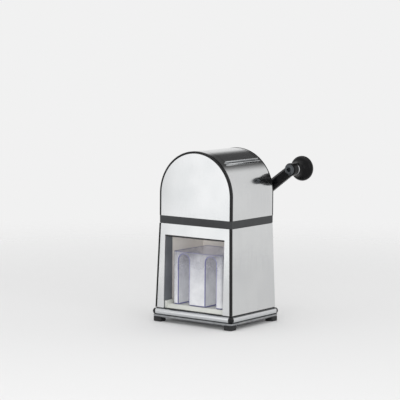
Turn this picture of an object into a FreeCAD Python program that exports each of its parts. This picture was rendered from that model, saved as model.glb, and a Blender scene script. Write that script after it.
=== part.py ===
import FreeCAD, Part
import math
import os
import re

import Sketcher

# A hand cranked ice crusher. The crank axis runs front to back along Y; the ice bay opens to the
# front, at -Y, and the crank stands on the back. The floor is at Z = 0.
# Each row of SIZES is one driving dimension in millimetres, or in degrees where it says so.
SIZES = [
    ("housing_width", 143.6, "lower shell at its foot, left to right"),
    ("housing_depth", 119.2, "lower shell at its foot, front to back"),
    ("lower_height", 130.7, "lower shell"),
    ("side_taper", 4.1, "lower shell, in at its top on each side"),
    ("front_taper", 3.55, "lower shell, in at its top at front and back"),
    ("sheet", 1.2, "steel sheet of the shells and panels"),
    ("shell_bend", 2, "outer radius of a fold in the sheet"),
    ("seat_gap", 0.05, "room between pieces that seat on each other"),
    ("overrun", 1, "how far a cut runs past the face that it opens"),
    ("end_chamfer", 0.6, "chamfer at the end of a turned piece"),
    ("foot_height", 7.25, "rubber foot, floor to pan"),
    ("foot_size", 15, "rubber foot, side of the square"),
    ("foot_corner", 3, "rubber foot, upright corners"),
    ("foot_inset", 1.2, "rubber foot, in from the base edge"),
    ("foot_recess", 2.6, "depth of the screw recess in a foot"),
    ("foot_bevel", 0.9, "rubber foot, lower edge"),
    ("screw_head_radius", 3.3, "foot screw head"),
    ("screw_head_height", 1.9, "foot screw head"),
    ("screw_radius", 1.5, "foot screw shank"),
    ("screw_length", 14, "foot screw shank"),
    ("screw_play", 0.2, "foot screw, room all round"),
    ("slot_width", 1, "slot in a screw head"),
    ("pan_height", 3.65, "steel pan under the base"),
    ("pan_sheet", 1.5, "bottom of the pan"),
    ("pan_inset", 0.5, "pan, in from the base edge"),
    ("pan_rim", 16, "solid rim of the pan"),
    ("pan_bevel", 1.2, "turned lower edge of the pan"),
    ("side_ledge", 3.6, "base, out from the shell at the sides"),
    ("front_ledge", 4.2, "base, out from the shell at front and back"),
    ("base_edge", 9.7, "height of the bullnose edge"),
    ("base_nose", 4.2, "radius of the bullnose"),
    ("base_corner", 5, "corner radius of the base in plan"),
    ("base_wall", 7, "wall of the base under its deck"),
    ("base_deck", 2, "deck of the base"),
    ("boss_radius", 4.5, "screw boss under the deck"),
    ("cap_reach", 6.2, "corner cap, in from the base edge"),
    ("cap_proud", 0.35, "corner cap, out from the base edge"),
    ("seam_height", 1.4, "gasket between base and shell"),
    ("seam_inset", 0.6, "gasket, in from the shell"),
    ("seam_wall", 2.8, "gasket, width of the ring"),
    ("trim_width", 3.2, "corner trim, each way from the corner"),
    ("trim_proud", 0.3, "corner trim and rims, out from the sheet"),
    ("trim_round", 1.2, "outer edge of the corner trim"),
    ("window_stile", 11.7, "front sheet beside the window, at its top"),
    ("window_head", 17.2, "front sheet above the window"),
    ("jamb_depth", 21.6, "foot of the shell to the back edge of the jamb"),
    ("jamb_wall", 2.5, "window jamb"),
    ("jamb_gap", 0.2, "between jamb and liner"),
    ("bay_side", 1.5, "bay liner, out from the window at each side"),
    ("bay_rear", 11.85, "inner back face of the bay, in from the band"),
    ("liner_wall", 2, "bay liner"),
    ("ceiling_rise", 1, "bay ceiling above the jamb"),
    ("tray_play", 0.2, "floor tray in the window, each side"),
    ("tray_back_play", 0.3, "floor tray to the back of the bay"),
    ("tray_setback", 3.6, "front edge of the tray, behind the foot of the shell"),
    ("tray_step", 1.8, "front edge of the floor tray"),
    ("tray_toe", 1, "flat at the front edge of the floor tray"),
    ("tray_ramp", 6.5, "length from the front edge to the platform"),
    ("tray_floor", 7.2, "platform of the floor tray"),
    ("tray_rim", 12.4, "rim of the floor tray"),
    ("tray_nose", 2, "front end of the rim"),
    ("tray_wall", 2.5, "floor tray"),
    ("container_side", 8.8, "container, in from the side of the tray"),
    ("container_rear", 5.2, "container to the back of the bay"),
    ("container_setback", 10.6, "container front, behind the foot of the shell"),
    ("container_headroom", 25.5, "container rim below the window head"),
    ("container_wall", 2, "ice container"),
    ("container_corner", 6, "ice container, upright edges"),
    ("container_foot_round", 2.6, "ice container, bottom edges"),
    ("slide_gap", 0.2, "under the ice container"),
    ("flute_width", 21, "arched recess in the container front"),
    ("flute_side", 21.5, "middle of a recess, in from the container side"),
    ("flute_depth", 29, "arched recess"),
    ("flute_drop", 3, "crown of a recess below the container rim"),
    ("band_height", 12, "plastic band between the two shells"),
    ("band_reveal", 0.8, "shadow line along the foot of the band"),
    ("band_wall", 4.5, "wall of the chassis"),
    ("spigot_height", 4.7, "chassis inside the lower shell"),
    ("spigot_gap", 0.3, "chassis inside the lower shell, all round"),
    ("deck_thickness", 3, "chassis deck"),
    ("upper_side_set", 0.3, "upper housing, in from the band at the sides"),
    ("upper_front_set", 0.25, "upper housing, in from the band at front and back"),
    ("arch_rise", 33.9, "arch centre above the band"),
    ("rim_width", 3, "black rim round the arch"),
    ("rim_bevel", 0.75, "outer edge of a rim"),
    ("front_rim_depth", 4, "front rim, front to back"),
    ("rear_rim_depth", 2, "rear rim, front to back"),
    ("panel_gap", 0.1, "between rim and end panel"),
    ("trough_gap", 1.3, "bay ceiling to the crushing trough"),
    ("trough_radius", 25, "inside of the crushing trough"),
    ("trough_wall", 3, "crushing trough"),
    ("trough_rise", 21.7, "top of the trough above the axis"),
    ("flange_lip", 3, "flange of the trough, out from the comb"),
    ("flange_thickness", 2, "flange of the trough"),
    ("deck_side_play", 3, "trough in the deck opening, at its sides"),
    ("deck_end_play", 1, "trough in the deck opening, at its ends"),
    ("chute_width", 28, "outlet below the trough"),
    ("chute_margin", 7, "outlet, in from the end of the trough"),
    ("chute_drop", 3, "chute below the trough"),
    ("chute_wall", 1.5, "chute"),
    ("chute_play", 1, "chute in the bay ceiling"),
    ("pedestal_wall", 6.95, "bearing pedestal round its bush"),
    ("pedestal_thickness", 4.35, "bearing pedestal"),
    ("pedestal_gap", 1.2, "pedestal to the trough end"),
    ("bush_wall", 2, "bearing bush"),
    ("notch_play", 0.45, "rear bush in the back panel, all round"),
    ("running_gap", 0.05, "shaft in a bush, all round"),
    ("shaft_radius", 5, "rotor shaft"),
    ("shaft_end_play", 0.3, "shaft end in the front bush"),
    ("trough_hole_play", 1, "shaft in the trough ends, all round"),
    ("drum_radius", 13, "rotor drum"),
    ("drum_end_play", 1, "drum to the trough ends"),
    ("ring_margin", 7, "end of the trough to the first comb finger"),
    ("tooth_clearance", 3, "tooth tip to the trough"),
    ("tooth_thickness", 4, "rotor tooth along the axis"),
    ("tooth_foot", 6, "half the foot of a rotor tooth"),
    ("tooth_root", 2.6, "foot of a rotor tooth inside the drum"),
    ("tooth_hook", 3.2, "lean of the tooth tip"),
    ("tooth_land", 0.8, "start of the flat on a tooth tip"),
    ("tooth_stagger", 20, "degrees from one ring of teeth to the next"),
    ("drive_pin_radius", 1.5, "cross pin through drum and shaft"),
    ("drive_pin_set", 0.5, "cross pin, end below the drum surface"),
    ("comb_rise", 5, "underside of the comb above the flange"),
    ("comb_height", 6, "comb finger, up and down"),
    ("comb_spine", 4.7, "comb spine"),
    ("comb_foot", 3, "foot of the comb on the flange"),
    ("comb_end_play", 2, "comb to the end of the trough"),
    ("comb_gap", 0.3, "comb spine to the trough"),
    ("finger_clearance", 1, "comb finger to the drum"),
    ("finger_nose", 1.5, "slope at the finger tip"),
    ("finger_thickness", 4, "comb finger along the axis"),
    ("finger_gap", 0.2, "comb finger in the trough wall"),
    ("clamp_head_radius", 2.2, "screw that holds the trough down"),
    ("clamp_head_height", 1.6, "screw that holds the trough down"),
    ("clamp_radius", 1.2, "screw that holds the trough down, shank"),
    ("clamp_length", 6, "screw that holds the trough down, shank"),
    ("clamp_inset", 2.3, "the same screw, in from the flange edges"),
    ("hopper_wall", 1.8, "hopper"),
    ("hopper_collar", 9.4, "upright part of the hopper at its lowest"),
    ("hopper_gap", 0.3, "hopper below the vault"),
    ("lid_front_margin", 13, "front rim to the lid opening"),
    ("lid_back_margin", 5.5, "rear rim to the lid opening"),
    ("lid_turn", 45, "degrees from the crown to the right edge of the opening"),
    ("hinge_turn", 51.3, "degrees from the crown to the left edge of the opening"),
    ("lid_side_gap", 0.6, "lid to the opening, front and right"),
    ("lid_rear_gap", 1.2, "lid to the opening, back"),
    ("lid_flange", 5, "turned edge below the lid"),
    ("hinge_offset", 3, "hinge pin from the edges it joins"),
    ("knuckle_radius", 2.6, "hinge knuckle"),
    ("pin_radius", 1.25, "hinge pin"),
    ("pin_rise", 1.6, "hinge pin above the vault surface"),
    ("knuckle_gap", 0.4, "between hinge knuckles"),
    ("lip_margin", 1, "edge of the lid opening to the finger lip"),
    ("lip_width", 6.6, "finger lip, round the vault"),
    ("lip_height", 1.2, "finger lip"),
    ("lip_bead", 1.3, "radius of the beads along the finger lip"),
    ("lip_bead_inset", 0.95, "edge of the finger lip to a bead"),
    ("escutcheon_radius", 17, "round plate behind the crank"),
    ("escutcheon_thickness", 3.3, "round plate behind the crank"),
    ("escutcheon_bevel", 1.5, "edge of the round plate"),
    ("escutcheon_play", 0.6, "shaft in the round plate, all round"),
    ("plate_screw_circle", 13.6, "radius of the circle of the plate screws"),
    ("plate_screw_drop", 2.8, "plate screws below the top of the band"),
    ("plate_screw_head", 1.9, "radius of a plate screw head"),
    ("plate_screw_sink", 1.3, "plate screw head"),
    ("plate_screw_radius", 1, "plate screw shank"),
    ("plate_screw_length", 6, "plate screw shank"),
    ("hub_gap", 0.4, "crank hub to the round plate"),
    ("crank_radius", 114.9, "shaft axis to knob axis"),
    ("crank_rest", 36.2, "degrees the crank stands above the level"),
    ("hub_wall", 7, "crank hub round the shaft"),
    ("hub_length", 15.2, "crank hub along the axis"),
    ("hub_bevel", 0.8, "edges of the crank hub"),
    ("arm_setback", 2.2, "crank arm behind the front of its hub"),
    ("arm_thickness", 12, "crank arm"),
    ("arm_root", 9.3, "half width of the arm at the hub"),
    ("arm_neck", 7.9, "half width of the arm at the knob"),
    ("arm_bevel", 3.6, "edges along the arm"),
    ("tip_radius", 10, "boss at the end of the arm"),
    ("tip_bevel", 1.6, "edges of the boss at the end of the arm"),
    ("square_cut", 1.25, "depth of a flat on the shaft"),
    ("square_play", 0.05, "square in the hub, all round"),
    ("thread_step", 0.75, "thread below the flats of the shaft"),
    ("thread_length", 6, "threaded end of the shaft"),
    ("nut_wall", 3, "cap nut round its thread"),
    ("nut_height", 5, "hexagon of the cap nut"),
    ("nut_dome", 4, "dome of the cap nut"),
    ("nut_step", 0.8, "dome of the cap nut, in from the flats"),
    ("nut_room", 0.3, "thread end to the inside of the cap nut"),
    ("spindle_radius", 4, "knob spindle"),
    ("spindle_head", 8.3, "radius of the button head"),
    ("spindle_head_height", 2.2, "button head"),
    ("spindle_head_edge", 0.4, "upright edge of the button head"),
    ("spindle_head_flat", 4.4, "radius of the flat on the button head"),
    ("socket_across", 6.4, "hexagon socket across its flats"),
    ("socket_depth", 4.2, "hexagon socket"),
    ("spindle_length", 36, "knob spindle, from the front of the arm"),
    ("ferrule_radius", 9.6, "chrome ferrule behind the arm"),
    ("ferrule_length", 2.6, "chrome ferrule"),
    ("ferrule_groove", 0.6, "groove round the ferrule"),
    ("knob_gap", 0.3, "knob to the ferrule"),
    ("knob_neck", 9.2, "radius of the knob neck"),
    ("knob_neck_length", 2.4, "straight neck of the knob"),
    ("knob_flare", 12, "radius of the hollow flare"),
    ("knob_flare_turn", 60, "degrees that the hollow flare turns through"),
    ("knob_radius", 19.4, "largest radius of the knob"),
    ("knob_length", 27.4, "knob"),
    ("knob_bore_gap", 0.08, "knob on its spindle, all round"),
]

# How many of each.
RINGS = 6
TEETH = 3
KNUCKLES = 5

# Places and sizes that follow from the driving dimensions.
PLACES = [
    ("base_width", "housing_width + 2 * side_ledge"),
    ("base_depth", "housing_depth + 2 * front_ledge"),
    ("top_width", "housing_width - 2 * side_taper"),
    ("top_depth", "housing_depth - 2 * front_taper"),
    ("frame_z", "foot_height + pan_height"),
    ("deck_z", "frame_z + base_edge"),
    ("shell_z", "deck_z + seam_height"),
    ("band_z", "shell_z + lower_height"),
    ("upper_z", "band_z + band_height"),
    ("arch_z", "upper_z + arch_rise"),
    ("foot_x", "base_width / 2 - foot_inset - foot_size / 2"),
    ("foot_y", "base_depth / 2 - foot_inset - foot_size / 2"),
    ("window_width", "top_width - 2 * window_stile"),
    ("window_z", "band_z - window_head"),
    ("jamb_back", "housing_depth / 2 - jamb_depth"),
    ("jamb_z", "window_z + jamb_wall"),
    ("jamb_top_y", "housing_depth / 2 - sheet - front_taper * (jamb_z - shell_z) / lower_height"),
    ("bay_width", "window_width + 2 * bay_side"),
    ("bay_back", "top_depth / 2 - bay_rear"),
    ("liner_z", "jamb_z + ceiling_rise"),
    ("trough_outer", "trough_radius + trough_wall"),
    ("axis_z", "liner_z + trough_gap + trough_outer"),
    ("trough_top", "axis_z + trough_rise"),
    ("tray_z", "deck_z + tray_floor"),
    ("tray_width", "window_width - 2 * tray_play"),
    ("tray_front", "housing_depth / 2 - tray_setback"),
    ("tray_back", "bay_back - tray_back_play"),
    ("container_z", "tray_z + slide_gap"),
    ("container_rim_z", "window_z - container_headroom"),
    ("container_width", "tray_width - 2 * container_side"),
    ("container_front", "-housing_depth / 2 + container_setback"),
    ("container_back", "bay_back - container_rear"),
    ("flute_x", "container_width / 2 - flute_side"),
    ("flute_spring_z", "container_rim_z - flute_drop - flute_width / 2"),
    ("spigot_width", "top_width - 2 * sheet - 2 * spigot_gap"),
    ("spigot_depth", "top_depth - 2 * sheet - 2 * spigot_gap"),
    ("well_width", "spigot_width - 2 * (band_wall - sheet)"),
    ("well_depth", "top_depth - 2 * band_wall"),
    ("chassis_z", "band_z - spigot_height"),
    ("chassis_deck_z", "chassis_z + deck_thickness"),
    ("trough_length", "well_depth - 2 * (trough_wall + pedestal_gap + pedestal_thickness)"),
    ("trough_end", "trough_length / 2 + trough_wall"),
    ("pedestal_front", "trough_end + pedestal_gap"),
    ("pedestal_back", "well_depth / 2 + seat_gap"),
    ("bush_radius", "shaft_radius + running_gap + bush_wall"),
    ("comb_inner", "trough_outer + comb_gap"),
    ("comb_outer", "comb_inner + comb_spine"),
    ("comb_length", "trough_length - 2 * comb_end_play"),
    ("flange_half", "comb_outer + flange_lip"),
    ("flange_z", "chassis_deck_z + flange_thickness"),
    ("comb_low_z", "flange_z + comb_rise"),
    ("comb_top_z", "comb_low_z + comb_height"),
    ("finger_tip", "drum_radius + finger_clearance"),
    ("chute_length", "trough_length - 2 * chute_margin"),
    ("chute_z", "axis_z - trough_outer - chute_drop"),
    ("clamp_x", "flange_half - clamp_inset"),
    ("clamp_y", "trough_end - clamp_inset"),
    ("tooth_reach", "trough_radius - tooth_clearance"),
    ("tooth_pitch", f"(trough_length - 2 * ring_margin) / {RINGS}"),
    ("vault_radius", "top_width / 2 - upper_side_set"),
    ("vault_inner", "vault_radius - sheet"),
    ("rim_inner", "vault_radius - rim_width"),
    ("rim_outer", "vault_radius + trim_proud"),
    ("upper_face", "top_depth / 2 - upper_front_set"),
    ("vault_front", "upper_face - front_rim_depth"),
    ("vault_back", "upper_face - rear_rim_depth"),
    ("lid_front", "vault_front - lid_front_margin"),
    ("lid_back", "vault_back - lid_back_margin"),
    ("lid_right", "vault_radius * sin(lid_turn * 1 deg)"),
    ("lid_hinge_side", "vault_radius * sin(hinge_turn * 1 deg)"),
    ("hopper_top_radius", "vault_inner - hopper_gap"),
    ("hopper_half", "lid_right + lid_side_gap"),
    ("hopper_edge", "hopper_half + hopper_wall"),
    ("hopper_front", "lid_front + hopper_gap"),
    ("hopper_back", "lid_back + hopper_gap"),
    ("hopper_knee_z", "arch_z + sqrt(hopper_top_radius^2 - hopper_edge^2) - hopper_collar"),
    ("hinge_x", "-(lid_hinge_side - hinge_offset)"),
    ("hinge_z", "arch_z + sqrt(vault_radius^2 - hinge_x^2) + pin_rise"),
    ("lid_left", "lid_hinge_side - 2 * hinge_offset"),
    ("lid_edge", "lid_right - lid_side_gap"),
    ("lid_y0", "-lid_front + lid_side_gap"),
    ("lid_y1", "lid_back - lid_rear_gap"),
    ("knuckle_step", f"(lid_y1 - lid_y0) / {KNUCKLES}"),
    ("degrees_per_mm", "180 / (pi * vault_radius)"),
    ("lip_end", "lid_turn - lip_margin * degrees_per_mm"),
    ("lip_start", "lip_end - lip_width * degrees_per_mm"),
    ("lip_bead_turn", "lip_bead_inset * degrees_per_mm"),
    ("plate_y", "top_depth / 2 + seat_gap"),
    ("plate_face", "plate_y + escutcheon_thickness"),
    ("plate_screw_z", "upper_z - plate_screw_drop"),
    ("plate_screw_x", "sqrt(plate_screw_circle^2 - (axis_z - plate_screw_z)^2)"),
    ("hub_radius", "shaft_radius + hub_wall"),
    ("hub_y", "plate_face + hub_gap"),
    ("hub_back_y", "hub_y + hub_length"),
    ("square_side", "2 * (shaft_radius - square_cut)"),
    ("thread_radius", "square_side / 2 - thread_step"),
    ("nut_across", "2 * (thread_radius + nut_wall)"),
    ("arm_y", "hub_y + arm_setback"),
    ("arm_back_y", "arm_y + arm_thickness"),
    ("knob_y", "arm_back_y + ferrule_length + knob_gap"),
    ("knob_end_y", "knob_y + knob_length"),
    ("flare_end", "knob_neck_length + knob_flare * sin(knob_flare_turn * 1 deg)"),
    ("flare_radius", "knob_neck + knob_flare * (1 - cos(knob_flare_turn * 1 deg))"),
    ("belly_arc", "(knob_radius - flare_radius) / (1 - cos(knob_flare_turn * 1 deg))"),
    ("belly_y", "flare_end + belly_arc * sin(knob_flare_turn * 1 deg)"),
    ("crown_arc", "knob_length - belly_y"),
    ("knob_x", "crank_radius * cos(crank_rest * 1 deg)"),
    ("knob_z", "axis_z + crank_radius * sin(crank_rest * 1 deg)"),
    ("frame_x", "(base_width / 2 + cap_proud - knob_x - knob_radius) / 2"),
    ("frame_y", "(base_depth / 2 + cap_proud - knob_end_y) / 2"),
]

doc = FreeCAD.newDocument("ice_crusher")
ALIASES = {}


def linked(text):
    """The text of an expression, with each size and place named by its sheet."""
    return re.sub(r"[a-z_]+[a-z_0-9]*", lambda m: ALIASES.get(m.group(), m.group()), str(text))


def make_sheets():
    sizes = doc.addObject("Spreadsheet::Sheet", "Sizes")
    for row, (alias, size, note) in enumerate(SIZES, start=1):
        sizes.set(f"A{row}", note)
        sizes.set(f"B{row}", str(size))
        sizes.setAlias(f"B{row}", alias)
        ALIASES[alias] = f"Sizes.{alias}"
    places = doc.addObject("Spreadsheet::Sheet", "Places")
    for row, (alias, formula) in enumerate(PLACES, start=1):
        places.set(f"B{row}", f"={linked(formula)}")
        places.setAlias(f"B{row}", alias)
        ALIASES[alias] = f"Places.{alias}"
    doc.recompute()
    return sizes


SHEET = make_sheets()
NODES = []


def number(text):
    """The present value of an expression."""
    return float(SHEET.evalExpression(linked(text)))


def new_body(label, x="0", y="0", z="0"):
    """An empty body whose own origin stands at x, y, z from the centre of the base."""
    body = doc.addObject("PartDesign::Body", label)
    body.Label = label
    body.setExpression("Placement.Base.x", linked(f"frame_x + {x}"))
    body.setExpression("Placement.Base.y", linked(f"frame_y + {y}"))
    body.setExpression("Placement.Base.z", linked(z))
    NODES.append(body)
    return body


def origin_feature(body, role):
    return next(f for f in body.Origin.OriginFeatures if f.Role == role)


def new_sketch(body, name, plane, lift):
    """A sketch on one of the body's planes, moved to the place lift on the axis across it."""
    sketch = body.newObject("Sketcher::SketchObject", name)
    sketch.AttachmentSupport = [(origin_feature(body, f"{plane}_Plane"), "")]
    sketch.MapMode = "FlatFace"
    towards = f"-({lift})" if plane == "XZ" else lift
    sketch.setExpression("AttachmentOffset.Base.z", linked(towards))
    return sketch


def tie(sketch, kind, edge, point, name, size):
    """Holds one coordinate or radius of a sketch edge to an expression."""
    if kind == "Radius":
        index = sketch.addConstraint(Sketcher.Constraint(kind, edge, number(size)))
    else:
        index = sketch.addConstraint(Sketcher.Constraint(kind, edge, point, number(size)))
    sketch.renameConstraint(index, name)
    sketch.setExpression(f"Constraints.{name}", linked(size))


def draw_loop(sketch, name, corners):
    """A closed outline. A corner (across, up) is reached by a line, and a corner
    (across, up, turn, centre across, centre up) by an arc that turns ccw or cw."""
    places = [FreeCAD.Vector(number(c[0]), number(c[1]), 0) for c in corners]
    edges = []
    for i, corner in enumerate(corners):
        start, end = places[i - 1], places[i]
        if len(corner) == 2:
            edges.append((sketch.addGeometry(Part.LineSegment(start, end)), 1, 2))
            continue
        centre = FreeCAD.Vector(number(corner[3]), number(corner[4]), 0)
        first, last = (start, end) if corner[2] == "ccw" else (end, start)
        angles = [math.atan2(p.y - centre.y, p.x - centre.x) for p in (first, last)]
        if angles[1] <= angles[0]:
            angles[1] += 2 * math.pi
        circle = Part.Circle(centre, FreeCAD.Vector(0, 0, 1), (start - centre).Length)
        edge = sketch.addGeometry(Part.ArcOfCircle(circle, *angles))
        edges.append((edge, 1, 2) if corner[2] == "ccw" else (edge, 2, 1))
    for i, (edge, start, end) in enumerate(edges):
        onward, onward_start, _ = edges[(i + 1) % len(edges)]
        sketch.addConstraint(Sketcher.Constraint("Coincident", edge, end, onward, onward_start))
    for i, (edge, start, end) in enumerate(edges):
        across, up = True, True
        if len(corners[i]) > 2:
            tie(sketch, "DistanceX", edge, 3, f"{name}_{i}_centre_across", corners[i][3])
            tie(sketch, "DistanceY", edge, 3, f"{name}_{i}_centre_up", corners[i][4])
            spoke = places[i] - FreeCAD.Vector(number(corners[i][3]), number(corners[i][4]), 0)
            up = abs(spoke.x) > abs(spoke.y)
            across = not up
        if across:
            tie(sketch, "DistanceX", edge, end, f"{name}_{i}_across", corners[i][0])
        if up:
            tie(sketch, "DistanceY", edge, end, f"{name}_{i}_up", corners[i][1])


def draw_circle(sketch, name, across, up, radius):
    centre = FreeCAD.Vector(number(across), number(up), 0)
    circle = Part.Circle(centre, FreeCAD.Vector(0, 0, 1), number(radius))
    edge = sketch.addGeometry(circle)
    tie(sketch, "DistanceX", edge, 3, f"{name}_across", across)
    tie(sketch, "DistanceY", edge, 3, f"{name}_up", up)
    tie(sketch, "Radius", edge, 0, f"{name}_radius", radius)


def draw(sketch, outlines):
    """Draws closed outlines and circles, each under its own letter."""
    for letter, outline in zip("abcdefgh", outlines):
        if outline[0] == "circle":
            draw_circle(sketch, letter, *outline[1:])
        else:
            draw_loop(sketch, letter, outline)


def box(x0, x1, y0, y1):
    return [(x0, y0), (x1, y0), (x1, y1), (x0, y1)]


def centred(width, depth):
    return box(f"-({width}) / 2", f"({width}) / 2", f"-({depth}) / 2", f"({depth}) / 2")


def rounded(x0, x1, y0, y1, r):
    """A rectangle with round corners."""
    left, right = f"{x0} + {r}", f"{x1} - ({r})"
    low, high = f"{y0} + {r}", f"{y1} - ({r})"
    return [
        (left, y0),
        (right, y0),
        (x1, low, "ccw", right, low),
        (x1, high),
        (right, y1, "ccw", right, high),
        (left, y1),
        (x0, high, "ccw", left, high),
        (x0, low),
        (left, y0, "ccw", left, low),
    ][1:]


def rounded_centred(width, depth, r):
    return rounded(
        f"-({width}) / 2", f"({width}) / 2", f"-({depth}) / 2", f"({depth}) / 2", r
    )


def block(body, name, plane, low, high, *outlines):
    """Material between two places on the axis across the plane."""
    start = high if plane == "XZ" else low
    sketch = new_sketch(body, f"{name}_outline", plane, start)
    draw(sketch, outlines)
    pad = body.newObject("PartDesign::Pad", name)
    pad.Profile = sketch
    pad.setExpression("Length", linked(f"{high} - ({low})"))
    sketch.Visibility = False
    return pad


def cut(body, name, plane, low, high, *outlines):
    """A pocket between two places on the axis across the plane. It has to remove something."""
    doc.recompute()
    before = body.Shape.Volume
    start = low if plane == "XZ" else high
    sketch = new_sketch(body, f"{name}_outline", plane, start)
    draw(sketch, outlines)
    pocket = body.newObject("PartDesign::Pocket", name)
    pocket.Profile = sketch
    pocket.setExpression("Length", linked(f"{high} - ({low})"))
    doc.recompute()
    if body.Shape.Volume > before - 1e-6:
        raise RuntimeError(f"{body.Label}: {name} removed nothing")
    return pocket


def loft(body, kind, name, low, low_outline, high, high_outline):
    """A straight sided loft between two outlines on level planes."""
    foot = new_sketch(body, f"{name}_low", "XY", low)
    draw(foot, [low_outline])
    head = new_sketch(body, f"{name}_high", "XY", high)
    draw(head, [high_outline])
    feature = body.newObject(f"PartDesign::{kind}Loft", name)
    feature.Profile = foot
    feature.Sections = [head]
    feature.Ruled = True
    return feature


def turn(body, name, outline):
    """A turned piece about the body's own Y axis. The outline is (along, radius)."""
    sketch = new_sketch(body, f"{name}_outline", "YZ", "0")
    draw(sketch, [outline])
    revolution = body.newObject("PartDesign::Revolution", name)
    revolution.Profile = sketch
    revolution.ReferenceAxis = (sketch, ["H_Axis"])
    revolution.Angle = 360
    return revolution


def dress(body, kind, name, size, chosen):
    """A fillet or chamfer on the edges of the last feature that a test picks out."""
    doc.recompute()
    last = body.Tip
    names = [f"Edge{i}" for i, edge in enumerate(last.Shape.Edges, start=1) if chosen(edge)]
    if not names:
        raise RuntimeError(f"{body.Label}: {name} finds no edge")
    feature = body.newObject(f"PartDesign::{kind}", name)
    feature.Base = (last, names)
    feature.setExpression("Radius" if kind == "Fillet" else "Size", linked(size))
    doc.recompute()
    return feature


def level(edge, z):
    """Whether an edge lies in the level plane at z."""
    return abs(edge.BoundBox.ZMin - z) < 1e-4 and abs(edge.BoundBox.ZMax - z) < 1e-4


def across_y(edge, y):
    """Whether an edge lies in the upright plane at y."""
    return abs(edge.BoundBox.YMin - y) < 1e-4 and abs(edge.BoundBox.YMax - y) < 1e-4


def mirror(body, name, feature):
    """The same feature again on the other side of the body's YZ plane."""
    copy = body.newObject("PartDesign::Mirrored", name)
    copy.Originals = [feature]
    copy.MirrorPlane = (origin_feature(body, "YZ_Plane"), [""])
    body.Tip = copy
    return copy


def at_corners(across, up, radius):
    """Four circles, one to each corner of a rectangle about the centre."""
    return [
        ("circle", f"{sx}({across})", f"{sy}({up})", radius) for sx in ("", "-") for sy in ("", "-")
    ]


# --- Base -------------------------------------------------------------------------------------


def make_feet():
    body = new_body("feet")
    squares = []
    for sx in ("", "-"):
        for sy in ("", "-"):
            x0, x1 = (f"{sx}foot_x - foot_size / 2", f"{sx}foot_x + foot_size / 2")
            y0, y1 = (f"{sy}foot_y - foot_size / 2", f"{sy}foot_y + foot_size / 2")
            squares.append(rounded(x0, x1, y0, y1, "foot_corner"))
    block(body, "pads", "XY", "0", "foot_height", *squares)
    dress(body, "Chamfer", "lower_edges", "foot_bevel", lambda e: level(e, 0))
    cut(body, "recesses", "XY", "0", "foot_recess",
        *at_corners("foot_x", "foot_y", "screw_head_radius + 2 * screw_play"))
    cut(body, "holes", "XY", "0", "foot_height",
        *at_corners("foot_x", "foot_y", "screw_radius + screw_play"))


def make_foot_screws():
    body = new_body("foot_screws")
    block(body, "heads", "XY", "foot_recess - screw_head_height", "foot_recess",
          *at_corners("foot_x", "foot_y", "screw_head_radius"))
    dress(body, "Chamfer", "head_edges", "screw_head_height / 2",
          lambda e: level(e, number("foot_recess - screw_head_height")))
    block(body, "shanks", "XY", "foot_recess", "foot_recess + screw_length",
          *at_corners("foot_x", "foot_y", "screw_radius"))
    slots = []
    for sx in ("", "-"):
        for sy in ("", "-"):
            slots.append(box(f"{sx}foot_x - screw_radius", f"{sx}foot_x + screw_radius",
                             f"{sy}foot_y - slot_width / 2", f"{sy}foot_y + slot_width / 2"))
    cut(body, "slots", "XY", "foot_recess - screw_head_height",
        "foot_recess - screw_head_height / 2", *slots)


def make_base_pan():
    body = new_body("base_pan")
    width, depth = "base_width - 2 * pan_inset", "base_depth - 2 * pan_inset"
    block(body, "sheet_pan", "XY", "foot_height", "frame_z",
          rounded_centred(width, depth, "base_corner"))
    dress(body, "Chamfer", "turned_edge", "pan_bevel",
          lambda e: level(e, number("foot_height")))
    cut(body, "hollow", "XY", "foot_height + pan_sheet", "frame_z",
        rounded_centred(f"{width} - 2 * pan_rim", f"{depth} - 2 * pan_rim", "base_corner"))
    cut(body, "screw_holes", "XY", "foot_height", "frame_z",
        *at_corners("foot_x", "foot_y", "screw_radius + screw_play"))


def bullnose(body, proud):
    """The base moulding, rounded over at the top and the bottom of its edge."""
    block(body, "moulding", "XY", "frame_z", "deck_z",
          rounded_centred(f"base_width + 2 * {proud}", f"base_depth + 2 * {proud}", "base_corner"))
    low, high = number("frame_z"), number("deck_z")
    dress(body, "Fillet", "nose", f"base_nose + {proud}",
          lambda e: level(e, low) or level(e, high))


def make_base_frame():
    body = new_body("base_frame")
    bullnose(body, "0")
    cut(body, "hollow", "XY", "frame_z", "deck_z - base_deck",
        rounded_centred("base_width - 2 * base_wall", "base_depth - 2 * base_wall", "base_corner"))
    block(body, "screw_bosses", "XY", "frame_z", "deck_z - base_deck",
          *at_corners("foot_x", "foot_y", "boss_radius"))
    cut(body, "screw_holes", "XY", "frame_z", "foot_recess + screw_length + screw_play",
        *at_corners("foot_x", "foot_y", "screw_radius + screw_play / 4"))
    corners = []
    for x0, x1 in (("base_width / 2 - cap_reach", "base_width"),
                   ("-base_width", "-base_width / 2 + cap_reach")):
        for y0, y1 in (("base_depth / 2 - cap_reach", "base_depth"),
                       ("-base_depth", "-base_depth / 2 + cap_reach")):
            corners.append(box(x0, x1, y0, y1))
    cut(body, "cap_seats", "XY", "frame_z - overrun", "deck_z + overrun", *corners)


def make_base_corner_caps():
    body = new_body("base_corner_caps")
    bullnose(body, "cap_proud")
    cut(body, "between_left_and_right", "XY", "frame_z - overrun", "deck_z + overrun",
        centred("base_width - 2 * cap_reach + 2 * seat_gap", "2 * base_depth"))
    cut(body, "between_front_and_back", "XY", "frame_z - overrun", "deck_z + overrun",
        centred("2 * base_width", "base_depth - 2 * cap_reach + 2 * seat_gap"))


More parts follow.
